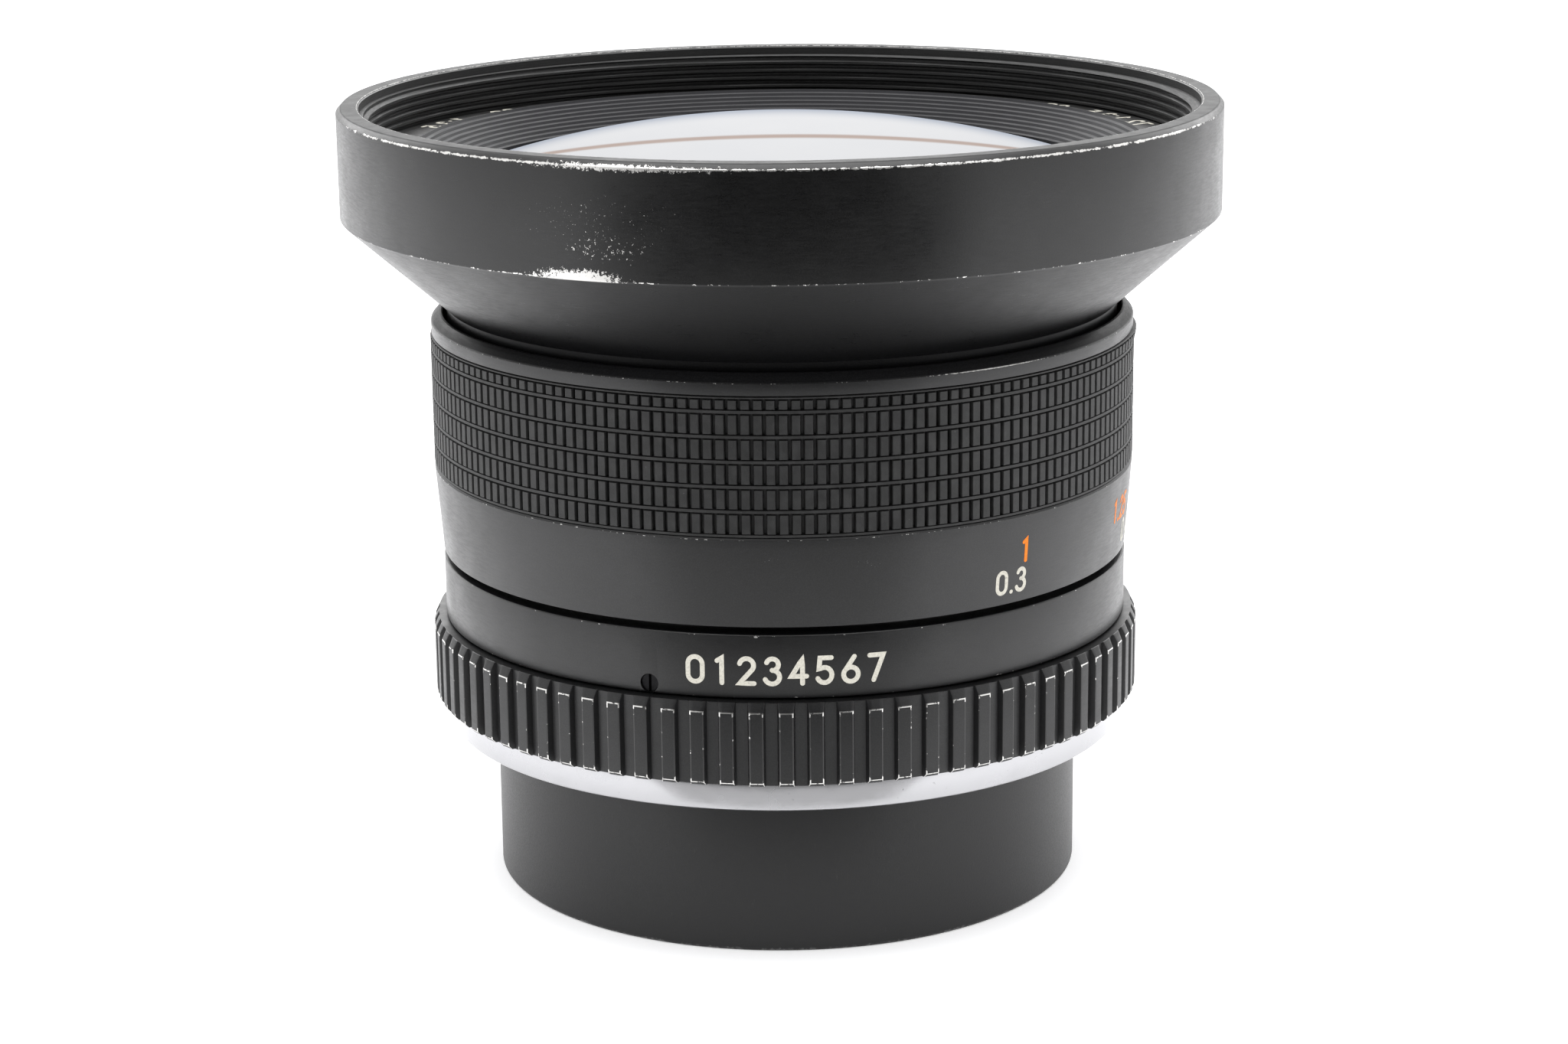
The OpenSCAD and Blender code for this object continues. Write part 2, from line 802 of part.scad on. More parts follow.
// Flat outline of a blade: a curved leaf, an eye round its pivot and a crank for its pin
module blade_outline() {
    leaf_from = -8;
    leaf_to = 118;
    middle_r = (open_r + blade_outer_r) / 2;
    tip_r = (blade_outer_r - open_r) / 2 - 0.15;
    difference() {
        circle(r = blade_outer_r);
        circle(r = open_r);
        polygon([
            [0, 0], 40 * [cos(leaf_from), sin(leaf_from)], 60 * [cos(-60), sin(-60)],
            60 * [cos(-120), sin(-120)], 60 * [cos(180), sin(180)], 40 * [cos(leaf_to), sin(leaf_to)]
        ]);
    }
    for (angle = [leaf_from, leaf_to])
        rotate(angle)
            translate([middle_r, 0])
                circle(r = tip_r, $fn = 48);
    translate([pivot_r, 0]) circle(r = 1.4, $fn = 48);
    translate([14, -1.4]) square([pivot_r - 14, 2.8]);
    translate([pivot_r, -crank_r]) circle(r = 1.1, $fn = 48);
    translate([pivot_r - 1.1, -crank_r]) square([2.2, crank_r]);
}

module iris_blade(i) {
    level = blade_z + i * blade_pitch;
    middle_z = level + blade_h / 2;
    plate_top_z = pivot_plate_z + pivot_plate_h;
    color("#3a3d40")
        rotate([0, 0, i * 360 / blade_count])
            union() {
                translate([0, 0, level]) linear_extrude(blade_h) blade_outline();
                translate([pivot_r, 0, middle_z])
                    cylinder(r = blade_pin_r, h = plate_top_z - 0.1 - middle_z, $fn = 32);
                translate([pivot_r, -crank_r, cam_z + 0.1])
                    cylinder(r = blade_pin_r, h = middle_z - cam_z - 0.1, $fn = 32);
            }
}

module iris_base_plate() {
    color("#2c2d30")
        difference() {
            tube(iris_bore_r - seat_gap, open_r + 0.1, pivot_plate_z, pivot_plate_z + pivot_plate_h);
            for (i = [0:blade_count - 1])
                rotate([0, 0, i * 360 / blade_count])
                    translate([pivot_r, 0, pivot_plate_z - cut])
                        cylinder(r = blade_pin_r + 0.04, h = pivot_plate_h + 2 * cut, $fn = 32);
        }
}

module iris_cam_ring() {
    color("goldenrod")
        union() {
            difference() {
                tube(cam_r, cam_bore_r, cam_z, cam_z + cam_h);
                translate([0, 0, cam_z - cut])
                    linear_extrude(cam_h + 2 * cut)
                        for (i = [0:blade_count - 1])
                            rotate(i * 360 / blade_count)
                                cam_slot();
            }
            rotate([0, 0, arm_angle])
                for (side = [-1, 1])
                    translate([arm_r - 0.1, side * (arm_half + run_gap + 0.6) - 0.6, 28])
                        cube([1.2, 1.2, cam_z + cut - 28]);
        }
}

module iris_housing() {
    fork_half = 8.5;
    color("#2c2d30")
        difference() {
            union() {
                tube(iris_wall_r, iris_bore_r, iris_z, pivot_plate_z + pivot_plate_h);
                tube(iris_bore_r + cut, open_r, iris_z, iris_z + iris_floor);
            }
            tube_part(18.2, 16.2, iris_z - cut, iris_z + iris_floor + cut,
                arm_angle - fork_half, arm_angle + aperture_turn + fork_half);
            for (i = [0:2])
                rotate([0, 0, 30 + i * 120])
                    translate([14.5, 0, iris_z - cut])
                        cylinder(r = 0.62, h = iris_floor + 2 * cut, $fn = 32);
        }
}

/* Rear cell */

module rear_cell() {
    color("#232325")
        difference() {
            rotate_extrude()
                polygon([
                    [rear_cell_r, rear_cell_z], [rear_cell_r, 31.6], [rear_flange_r, 31.6],
                    [rear_flange_r, iris_z], [9.55, iris_z], [9.55, 24.02], [8.5, 24.02],
                    [8.5, 22.45], [11.05, 22.45], [11.05, rear_cell_z]
                ]);
            for (i = [0:2])
                rotate([0, 0, 30 + i * 120])
                    translate([14.5, 0, 31.5])
                        cylinder(r = 0.62, h = 2, $fn = 32);
        }
}

module rear_cell_screws() {
    color("silver")
        for (i = [0:2])
            rotate([0, 0, 30 + i * 120])
                translate([14.5, 0, 0])
                    difference() {
                        union() {
                            translate([0, 0, 30.95]) cylinder(r = 1.1, h = 0.65, $fn = 32);
                            translate([0, 0, 31.2]) cylinder(r = 0.6, h = 2.6, $fn = 32);
                        }
                        translate([-2, -0.12, 30.9]) cube([4, 0.24, 0.35]);
                    }
}

module fifth_element() {
    color("#9fb6c8", 0.45)
        intersection() {
            translate([0, 0, 24]) cylinder(r = 9.5, h = 10);
            ball_top(30, 31.84);
            ball_bottom(25, 26.42);
        }
}

module fifth_element_ring() {
    color("#232325") tube(9.52, 8.3, 30.7, 31.6);
}

module sixth_element() {
    color("#9fb6c8", 0.45)
        difference() {
            translate([0, 0, 24.05]) cylinder(r = 9.5, h = 4.2);
            ball_bottom(25, 26.4);
            ball_top(45, 25.06);
        }
}

module seventh_element() {
    color("#9fb6c8", 0.45)
        difference() {
            intersection() {
                translate([0, 0, 12.4]) cylinder(r = 11, h = 10);
                ball_bottom(28, 18.15);
            }
            ball_bottom(60, 21.38);
        }
}

module rear_spacer() {
    color("#232325") tube(11.02, 10.2, 16.8, 20);
}

module rear_element() {
    color("#9fb6c8", 0.45)
        intersection() {
            translate([0, 0, 10]) cylinder(r = 11, h = 10);
            ball_top(55, 17.71);
            ball_bottom(30, 12.51);
        }
}

module rear_retaining_ring() {
    color("#232325") tube(11.02, 9.6, rear_cell_z, 14);
}

rear_cap();
mount_flange();
mount_screws();
rear_light_baffle();
fixed_barrel();
barrel_grub_screws();
mounting_dot();
focus_keys();
key_screws();
focus_stop_block();
click_spring();
click_spring_screw();
click_ball();
lever_retaining_ring();
stopdown_lever_ring();
aperture_ring();
iris_drive_arm();
focus_ring();
rubber_grip();
helicoid_sleeve();
focus_ring_screws();
guide_screws();
front_barrel();
name_ring();
front_retaining_ring();
front_element();
front_cell();
second_element();
second_element_ring();
third_element();
third_element_ring();
fourth_element();
fourth_element_ring();
helicoid_tube();
head_screws();
iris_base_plate();
iris_blade(0);  // iris_blade_1
iris_blade(1);  // iris_blade_2
iris_blade(2);  // iris_blade_3
iris_blade(3);  // iris_blade_4
iris_blade(4);  // iris_blade_5
iris_blade(5);  // iris_blade_6
iris_cam_ring();
iris_housing();
rear_cell();
rear_cell_screws();
fifth_element();
fifth_element_ring();
sixth_element();
seventh_element();
rear_spacer();
rear_element();
rear_retaining_ring();
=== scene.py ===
"""Looks of a wide-angle prime lens that stands on its rear cap.

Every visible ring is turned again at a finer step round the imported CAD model, with its real
edges, threads, ribs and figures. Sizes below are millimetres; meshes are made in metres.
Directions round the lens are degrees from -Y, the side of the serial number, towards +X.
"""
import json
import math

import bmesh
import bpy
import numpy as np
from mathutils import Matrix, Vector


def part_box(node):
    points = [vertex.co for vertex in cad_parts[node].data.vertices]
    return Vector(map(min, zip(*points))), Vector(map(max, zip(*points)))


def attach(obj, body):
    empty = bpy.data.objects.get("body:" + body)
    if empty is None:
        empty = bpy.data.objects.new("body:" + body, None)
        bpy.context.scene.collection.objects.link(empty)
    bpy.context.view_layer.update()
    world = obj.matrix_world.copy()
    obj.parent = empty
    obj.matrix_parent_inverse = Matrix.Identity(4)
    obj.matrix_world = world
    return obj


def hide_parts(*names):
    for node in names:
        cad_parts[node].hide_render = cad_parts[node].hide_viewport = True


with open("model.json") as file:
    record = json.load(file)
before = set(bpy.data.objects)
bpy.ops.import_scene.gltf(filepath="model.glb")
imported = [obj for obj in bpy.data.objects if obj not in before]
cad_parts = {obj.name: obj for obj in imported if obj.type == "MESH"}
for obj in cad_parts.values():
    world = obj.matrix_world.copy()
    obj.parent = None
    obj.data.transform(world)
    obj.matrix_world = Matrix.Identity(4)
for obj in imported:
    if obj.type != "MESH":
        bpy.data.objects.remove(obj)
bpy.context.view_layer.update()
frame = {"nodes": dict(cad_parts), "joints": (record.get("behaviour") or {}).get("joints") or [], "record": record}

MM = 0.001
SEGMENTS = 720
FRONT = 0
BACK = 180


def low(node):
    return np.array(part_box(node)[0]) / MM


def high(node):
    return np.array(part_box(node)[1]) / MM


# ---- driving sizes

RIM_Z = high("front_barrel")[2]
HOOD_R = high("front_barrel")[0]
HEAD_LOW_Z = low("front_barrel")[2]
NECK_R = 29.46
NECK_Z = RIM_Z - 17.35
FLARE_Z = RIM_Z - 9.4
RIM_BEVEL = 0.45
THREAD_ROOT_R = 36.0
THREAD_CREST_R = 35.6
THREAD_PITCH = 0.75
THREAD_TOP_Z = RIM_Z - 0.8
THREAD_RUN = 3.8
FLOOR_Z = low("name_ring")[2]
NAME_Z = high("name_ring")[2]
NAME_R = high("name_ring")[0]

BARREL_R = 30.37
BARREL_Z = 23.8
BARREL_TOP_Z = 29.2

FOCUS_Z = low("focus_ring")[2]
FOCUS_TOP_Z = high("focus_ring")[2]
SCALE_R = 30.93
GRIP_Z = low("rubber_grip")[2]
GRIP_TOP_Z = high("rubber_grip")[2]
GRIP_R = high("rubber_grip")[0]

APERTURE_Z = low("aperture_ring")[2]
APERTURE_TOP_Z = high("aperture_ring")[2]
APERTURE_R = 31.5
RIB_COUNT = 80
RIB_DEPTH = 0.55
RIB_BEVEL_W = 0.4
RIB_BEVEL_H = 0.8
RIB_FOOT = 0.3

FLANGE_TOP_Z = high("mount_flange")[2]
FLANGE_R = high("mount_flange")[0]
CAP_R = high("rear_cap")[0]
CAP_TOP_Z = high("rear_cap")[2]

STOPS = ["3.5", "4", "5.6", "8", "11", "16", "22"]
APERTURE_TURN = next(j for j in frame["joints"] if j["name"] == "aperture")["range_deg"][1]
FIRST_STOP = 0.39
STOP_TURN = APERTURE_TURN / (FIRST_STOP + 5)
CLICK = 90
CLICK_Z = (low("click_ball")[2] + high("click_ball")[2]) / 2
FOCUS_TURN = next(j for j in frame["joints"] if j["name"] == "focus")["range_deg"][1]


# ---- meshes

def place(radius, angle, z):
    """Point at a radius, a direction in degrees from -Y towards +X, and a height."""
    a = math.radians(angle)
    return (radius * math.sin(a), -radius * math.cos(a), z)


def rounded(profile, steps=3):
    """Outline with its corners turned into arcs. A corner is (r, z), or (r, z, radius)."""
    points = []
    count = len(profile)
    for i, corner in enumerate(profile):
        p = Vector(corner[:2])
        radius = corner[2] if len(corner) > 2 else 0
        if radius == 0:
            points.append(tuple(p))
            continue
        before = (Vector(profile[i - 1][:2]) - p).normalized()
        after = (Vector(profile[(i + 1) % count][:2]) - p).normalized()
        half = before.angle(after) / 2
        reach = radius / math.tan(half)
        centre = p + (before + after).normalized() * radius / math.sin(half)
        start = p + before * reach - centre
        end = p + after * reach - centre
        turn = start.angle_signed(end)
        for k in range(steps + 1):
            arm = start.copy()
            arm.rotate(Matrix.Rotation(-turn * k / steps, 2))
            points.append(tuple(centre + arm))
    return points


def turned(profile, segments=SEGMENTS, warp=None):
    """Vertices and faces of a closed outline turned about the axis. warp(points, angle) may
    shift the outline at each direction. An outline with two points on the axis stays open there."""
    points = np.array(profile, float)
    on_axis = points[:, 0] < 1e-6
    verts, rows = [], []
    for s in range(segments):
        angle = 360 * s / segments
        section = warp(points.copy(), angle) if warp else points
        row = []
        for k, (radius, z) in enumerate(section):
            if on_axis[k] and s > 0:
                row.append(rows[0][k])
                continue
            row.append(len(verts))
            verts.append(place(radius, angle, z))
        rows.append(row)
    count = len(points)
    faces = []
    for s in range(segments):
        here, there = rows[s], rows[(s + 1) % segments]
        for k in range(count):
            n = (k + 1) % count
            if on_axis[k] and on_axis[n]:
                continue
            face = [here[k], there[k], there[n], here[n]]
            faces.append([v for i, v in enumerate(face) if v != face[i - 1]])
    return verts, faces


def new_object(name, data):
    obj = bpy.data.objects.new(name, data)
    bpy.context.scene.collection.objects.link(obj)
    return obj


def mesh_object(name, verts, faces, sharp=28):
    """Object from vertices in millimetres, smooth apart from its sharp edges."""
    mesh = bpy.data.meshes.new(name)
    mesh.from_pydata([tuple(c * MM for c in v) for v in verts], [], faces)
    mesh.validate()
    bm = bmesh.new()
    bm.from_mesh(mesh)
    bmesh.ops.recalc_face_normals(bm, faces=bm.faces)
    bm.to_mesh(mesh)
    bm.free()
    smooth_edges(mesh, sharp)
    return new_object(name, mesh)


def joined(parts):
    """Vertices and faces of many meshes as those of one."""
    verts, faces = [], []
    for part_verts, part_faces in parts:
        faces += [[i + len(verts) for i in face] for face in part_faces]
        verts += part_verts
    return verts, faces


def skin(columns, count):
    """Faces that join columns of count points each into a closed ring."""
    faces = []
    for c in range(columns):
        here, there = c * count, (c + 1) % columns * count
        for k in range(count):
            n = (k + 1) % count
            faces.append([here + k, there + k, there + n, here + n])
    return faces


def smooth_edges(mesh, sharp):
    mesh.polygons.foreach_set("use_smooth", [True] * len(mesh.polygons))
    mesh.set_sharp_from_angle(angle=math.radians(sharp))


def cut_from(obj, cutters, sharp=28):
    """Cuts the cutter objects out of obj and removes them."""
    for cutter in cutters:
        modifier = obj.modifiers.new("cut", "BOOLEAN")
        modifier.operation = "DIFFERENCE"
        modifier.solver = "EXACT"
        modifier.object = cutter
    bpy.context.view_layer.update()
    cut = bpy.data.meshes.new_from_object(obj.evaluated_get(bpy.context.evaluated_depsgraph_get()))
    obj.modifiers.clear()
    obj.data = cut
    smooth_edges(cut, sharp)
    for cutter in cutters:
        bpy.data.objects.remove(cutter)


def rod(name, radius, start, end, segments=64):
    """Straight round rod between two points in millimetres, as a cutter."""
    a, b = Vector(start), Vector(end)
    turn = (b - a).to_track_quat("Z", "X").to_matrix()
    circle = [
        turn @ Vector((radius * math.cos(t), radius * math.sin(t), 0))
        for t in np.linspace(0, math.tau, segments, endpoint=False)
    ]
    verts = [tuple(a + c) for c in circle] + [tuple(b + c) for c in circle]
    faces = []
    for i in range(segments):
        n = (i + 1) % segments
        faces.append([i, n, segments + n, segments + i])
    faces += [list(range(segments))[::-1], list(range(segments, 2 * segments))]
    return mesh_object(name, verts, faces)


def finish_piece(obj, body, slot, *stands_for, materials=()):
    """Gives a piece its body and its finish, which is the material named by slot where no materials
    are named, and hides the CAD nodes that it stands for."""
    for name in materials or [slot]:
        obj.data.materials.append(M[name])
    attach(obj, body)
    if stands_for:
        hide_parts(*stands_for)


# ---- figures

def arc(cx, cy, rx, ry, start, end, steps=14):
    """Points of an elliptical arc, in degrees from +x towards +y."""
    return [
        (cx + rx * math.cos(math.radians(start + (end - start) * k / steps)),
         cy + ry * math.sin(math.radians(start + (end - start) * k / steps)))
        for k in range(steps + 1)
    ]


# Strokes of each figure in a box 0.6 wide and 1 high
GLYPHS = {
    "0": [arc(0.3, 0.7, 0.27, 0.27, 0, 180) + arc(0.3, 0.3, 0.27, 0.27, 180, 360) + [(0.57, 0.7)]],
    "1": [[(0.17, 0.86), (0.34, 0.97), (0.34, 0.03)]],
    "2": [arc(0.3, 0.71, 0.26, 0.26, 165, -35) + [(0.04, 0.03), (0.57, 0.03)]],
    "3": [arc(0.29, 0.75, 0.22, 0.22, 160, -90), arc(0.28, 0.28, 0.27, 0.26, 90, -160)],
    "4": [[(0.43, 0.03), (0.43, 0.97), (0.03, 0.3), (0.58, 0.3)]],
    "5": [[(0.53, 0.97), (0.12, 0.97), (0.08, 0.56)] + arc(0.28, 0.32, 0.27, 0.29, 118, -155)],
    "6": [[(0.43, 0.97), (0.1, 0.48)] + arc(0.3, 0.3, 0.27, 0.27, 140, 500, 24)],
    "7": [[(0.05, 0.97), (0.56, 0.97), (0.2, 0.03)]],
    "8": [arc(0.3, 0.74, 0.22, 0.23, -90, 270, 24), arc(0.3, 0.27, 0.26, 0.24, 90, 450, 24)],
    ".": [[(0.09, 0.03), (0.11, 0.03)]],
    ":": [[(0.1, 0.2), (0.12, 0.2)], [(0.1, 0.7), (0.12, 0.7)]],
    "|": [[(0.0, 0.0), (0.0, 1.0)]],
    "oo": [arc(0.28, 0.42, 0.25, 0.22, 40, 320, 18) + arc(0.92, 0.42, 0.25, 0.22, -140, 140, 18)
           + [(0.47, 0.56)]],
}
GLYPH_WIDTH = {".": 0.2, ":": 0.22, "|": 0.0, "oo": 1.2}
FIGURE_RISE = 0.012
LETTER_GAP = 0.28


def glyph_width(glyph):
    return GLYPH_WIDTH.get(glyph, 0.6)


def stroke_strip(points, width, wrap):
    """Thin solid along a stroke, with round ends, laid on a surface by wrap(u, v, height)."""
    line = [Vector(points[0])]
    for p in points[1:]:
        if (Vector(p) - line[-1]).length > width * 0.05:
            line.append(Vector(p))
    if len(line) < 2:
        line = [Vector(points[0]), Vector(points[-1]) + Vector((width * 0.06, 0))]
    dense = [line[0]]
    for p in line[1:]:
        parts = max(1, round((p - dense[-1]).length / (width * 1.2)))
        start = dense[-1]
        dense += [start.lerp(p, k / parts) for k in range(1, parts + 1)]
    left, right = [], []
    for i, p in enumerate(dense):
        before = (p - dense[i - 1]).normalized() if i > 0 else None
        after = (dense[i + 1] - p).normalized() if i + 1 < len(dense) else None
        along = ((before or after) + (after or before)).normalized()
        stretch = 1 / max(0.5, along.dot(before or after))
        side = Vector((-along.y, along.x)) * width / 2 * stretch
        left.append(p + side)
        right.append(p - side)

    def round_end(tip, inner):
        turn = math.atan2(*(tip - inner).yx)
        arms = [turn + math.radians(a) for a in (60, 30, 0, -30, -60)]
        return [tip + Vector((math.cos(a), math.sin(a))) * width / 2 for a in arms]

    end = round_end(dense[-1], dense[-2])
    start = round_end(dense[0], dense[1])
    ring = left + end + right[::-1] + start
    count = len(ring)
    verts = [wrap(p.x, p.y, FIGURE_RISE) for p in ring] + [wrap(p.x, p.y, -FIGURE_RISE) for p in ring]
    n = len(left)
    faces = []
    for i in range(n - 1):
        faces.append([i, i + 1, count - len(start) - 2 - i, count - len(start) - 1 - i])
    faces.append([n - 1] + list(range(n, n + len(end))) + [n + len(end)])
    faces.append([count - len(start) - 1] + list(range(count - len(start), count)) + [0])
    faces += [[v + count for v in f][::-1] for f in faces]
    faces += [[i, i + count, (i + 1) % count + count, (i + 1) % count] for i in range(count)]
    return verts, faces


def figure_mesh(text, height, stroke, wrap, gap=LETTER_GAP, aspect=1.0):
    """Vertices and faces of a line of figures, centred on wrap's origin."""
    glyphs = ["oo"] if text == "oo" else list(text)
    total = sum(glyph_width(g) + gap for g in glyphs) - gap
    x = -total / 2
    strips = []
    for glyph in glyphs:
        for points in GLYPHS[glyph]:
            scaled = [((x + px) * height * aspect, (py - 0.5) * height) for px, py in points]
            strips.append(stroke_strip(scaled, stroke, wrap))
        x += glyph_width(glyph) + gap
    return joined(strips)


def on_barrel(radius_at, angle, z):
    """Lays figures upright on a turned surface, read from outside."""
    def wrap(u, v, height):
        radius = radius_at(z + v) + height
        return place(radius, angle + math.degrees(u / radius), z + v)
    return wrap


def on_face(text_r, angle, z):
    """Lays figures on a flat ring that faces forwards, with their heads outwards."""
    def wrap(u, v, height):
        return place(text_r + v, angle + math.degrees(u / text_r), z + height)
    return wrap


def figures(name, entries, body, slot):
    """One piece out of many lines of figures. An entry holds the values that figure_mesh takes."""
    finish_piece(mesh_object(name, *joined(figure_mesh(*entry) for entry in entries)), body, slot)


# ---- materials

# Every material by the name that its shader was given
M = {}


class Shader:
    """A material that is built node by node. Numbers and sockets mix freely."""

    def __init__(self, name):
        self.material = M[name] = bpy.data.materials.new(name)
        self.material.use_nodes = True
        self.tree = self.material.node_tree
        self.bsdf = self.tree.nodes["Principled BSDF"]
        self.position = self.node("ShaderNodeTexCoord").outputs["Object"]

    def node(self, kind, inputs=None, **settings):
        """A new node. inputs feeds its sockets by name or by number."""
        node = self.tree.nodes.new(kind)
        for key, value in settings.items():
            setattr(node, key, value)
        for key, value in (inputs or {}).items():
            self.feed(node.inputs[key], value)
        return node

    def feed(self, socket, value):
        if isinstance(value, bpy.types.NodeSocket):
            self.tree.links.new(value, socket)
        else:
            socket.default_value = value

    def math(self, operation, a, b=0.0):
        return self.node("ShaderNodeMath", {0: a, 1: b}, operation=operation).outputs[0]

    def ramp(self, value, start, end, low=0.0, high=1.0):
        """value between start and end, eased onto low to high."""
        inputs = dict(enumerate((value, start, end, low, high)))
        return self.node("ShaderNodeMapRange", inputs, interpolation_type="SMOOTHSTEP").outputs[0]

    def scaled(self, scale):
        """Object position in millimetres times a factor on each axis."""
        inputs = {"Vector": self.position, "Scale": [s / MM for s in scale]}
        return self.node("ShaderNodeMapping", inputs).outputs[0]

    def noise(self, scale, detail=2.0, roughness=0.5, offset=0.0):
        """Noise whose features are about 1 / scale millimetres on each axis."""
        scale = scale if isinstance(scale, tuple) else (scale,) * 3
        inputs = {"Vector": self.scaled(scale), "W": offset, "Scale": 1.0, "Detail": detail,
                  "Roughness": roughness}
        return self.node("ShaderNodeTexNoise", inputs, noise_dimensions="4D").outputs["Fac"]

    def place(self):
        """Radius, direction in degrees from -Y, and height, in millimetres."""
        split = self.node("ShaderNodeSeparateXYZ", {0: self.position})
        x, y, z = (self.times(s, 1 / MM) for s in split.outputs)
        radius = self.math("SQRT", self.plus(self.times(x, x), self.times(y, y)))
        turn = self.math("ARCTAN2", x, self.times(y, -1.0))
        return radius, self.times(turn, 180 / math.pi), z

    def facing(self):
        """0 where the surface is seen square on, 1 where it is seen edge on."""
        return self.node("ShaderNodeLayerWeight").outputs["Facing"]

    def mix(self, share, a, b):
        """From color a to color b as share goes from 0 to 1."""
        return self.node("ShaderNodeMix", {0: share, 6: a, 7: b}, data_type="RGBA").outputs[2]

    def chain(self, operation, values):
        """Takes values together, from the first to the last."""
        result = values[0]
        for value in values[1:]:
            result = self.math(operation, result, value)
        return result

    def plus(self, *values):
        return self.chain("ADD", values)

    def times(self, *values):
        return self.chain("MULTIPLY", values)

    def most(self, *values):
        return self.chain("MAXIMUM", values)

    def apart(self, a, b):
        return self.math("ABSOLUTE", self.math("SUBTRACT", a, b))

    def surface(self, color, roughness, metallic=0.0, height=None, depth=0.01, **fixed):
        self.feed(self.bsdf.inputs["Base Color"], color)
        self.feed(self.bsdf.inputs["Roughness"], roughness)
        self.feed(self.bsdf.inputs["Metallic"], metallic)
        for key, value in fixed.items():
            self.feed(self.bsdf.inputs[key.replace("_", " ")], value)
        if height is not None:
            inputs = {"Strength": 1.0, "Distance": depth * MM, "Height": height}
            bump = self.node("ShaderNodeBump", inputs)
            self.feed(self.bsdf.inputs["Normal"], bump.outputs[0])
        return self.material


def grey(value, tint=0.0):
    """A grey with a slight blue tint."""
    return (value, value, value * (1 + tint), 1.0)


BARE_METAL = (0.72, 0.71, 0.69, 1.0)


def anodised(name, tone=0.0045, roughness=0.31, marks=None, flat_z=None, shines=None):
    """Satin black anodised metal: turned grain, faint blotches and, where marks() says, bare metal.
    It is rougher above flat_z. shines holds ramps of the shine up the lens, each as (from height,
    to height, from level, to level); the largest one counts. A shine lowered by them is painted shade."""
    s = Shader(name)
    radius, angle, z = s.place()
    grain = s.noise((0.8, 0.8, 7.0), 4.0, 0.7)
    speckle = s.noise(9.0, 2.0, 0.6, 3.0)
    blotch = s.noise(0.28, 2.0, 0.5, 7.0)
    rub = s.noise(1.3, 4.0, 0.65, 11.0)
    rough = s.plus(s.ramp(blotch, 0.3, 0.7, roughness - 0.02, roughness + 0.03),
                   s.ramp(rub, 0.55, 0.8, 0.0, -0.05))
    rough = s.plus(rough, s.ramp(grain, 0.3, 0.7, -0.03, 0.06))
    if flat_z:
        rough = s.plus(rough, s.ramp(z, flat_z - 0.12, flat_z - 0.02, 0.0, 0.3))
    shine = s.most(*(s.ramp(z, *levels) for levels in shines)) if shines else 0.5
    height = s.plus(s.times(grain, 0.7), s.times(speckle, 0.7))
    color = s.mix(s.ramp(speckle, 0.35, 0.75), grey(tone * 0.75, 0.06), grey(tone * 1.5, 0.06))
    metallic = 0.0
    if marks:
        bare = marks(s, radius, angle, z)
        color = s.mix(bare, color, BARE_METAL)
        metallic = s.times(bare, 0.95)
        height = s.math("SUBTRACT", height, s.times(bare, 1.2))
    return s.surface(color, rough, metallic, height, 0.005, Specular_IOR_Level=shine, IOR=1.5)


def near_edge(s, radius, z, edge_r, edge_z, width):
    """1 on a turned edge, falling to 0 at a distance of width millimetres."""
    dr = s.math("SUBTRACT", radius, edge_r)
    dz = s.math("SUBTRACT", z, edge_z)
    gap = s.math("SQRT", s.plus(s.times(dr, dr), s.times(dz, dz)))
    return s.ramp(gap, 0.0, width, 1.0, 0.0)


def near_angle(s, angle, centre, spread):
    """1 in a direction, easing to 0 at spread degrees to each side."""
    return s.ramp(s.apart(angle, centre), 0.0, spread, 1.0, 0.0)


def near_place(s, angle, z, centre, spread, height, reach):
    """1 at a place on a barrel, easing to 0 away from it."""
    dz = s.ramp(s.apart(z, height), 0.0, reach, 1.0, 0.0)
    return s.times(near_angle(s, angle, centre, spread), dz)


def worn(s, strength, seed, coarse=1.6, fine=7.0):
    """Ragged patches of bare metal that spread as strength goes from 0 to 1."""
    ragged = s.plus(s.times(s.noise(coarse, 3.0, 0.6, seed), 0.6),
                    s.times(s.noise(fine, 2.0, 0.6, seed + 0.5), 0.4))
    level = s.plus(ragged, s.times(strength, 0.55))
    return s.ramp(level, 0.86, 0.92)


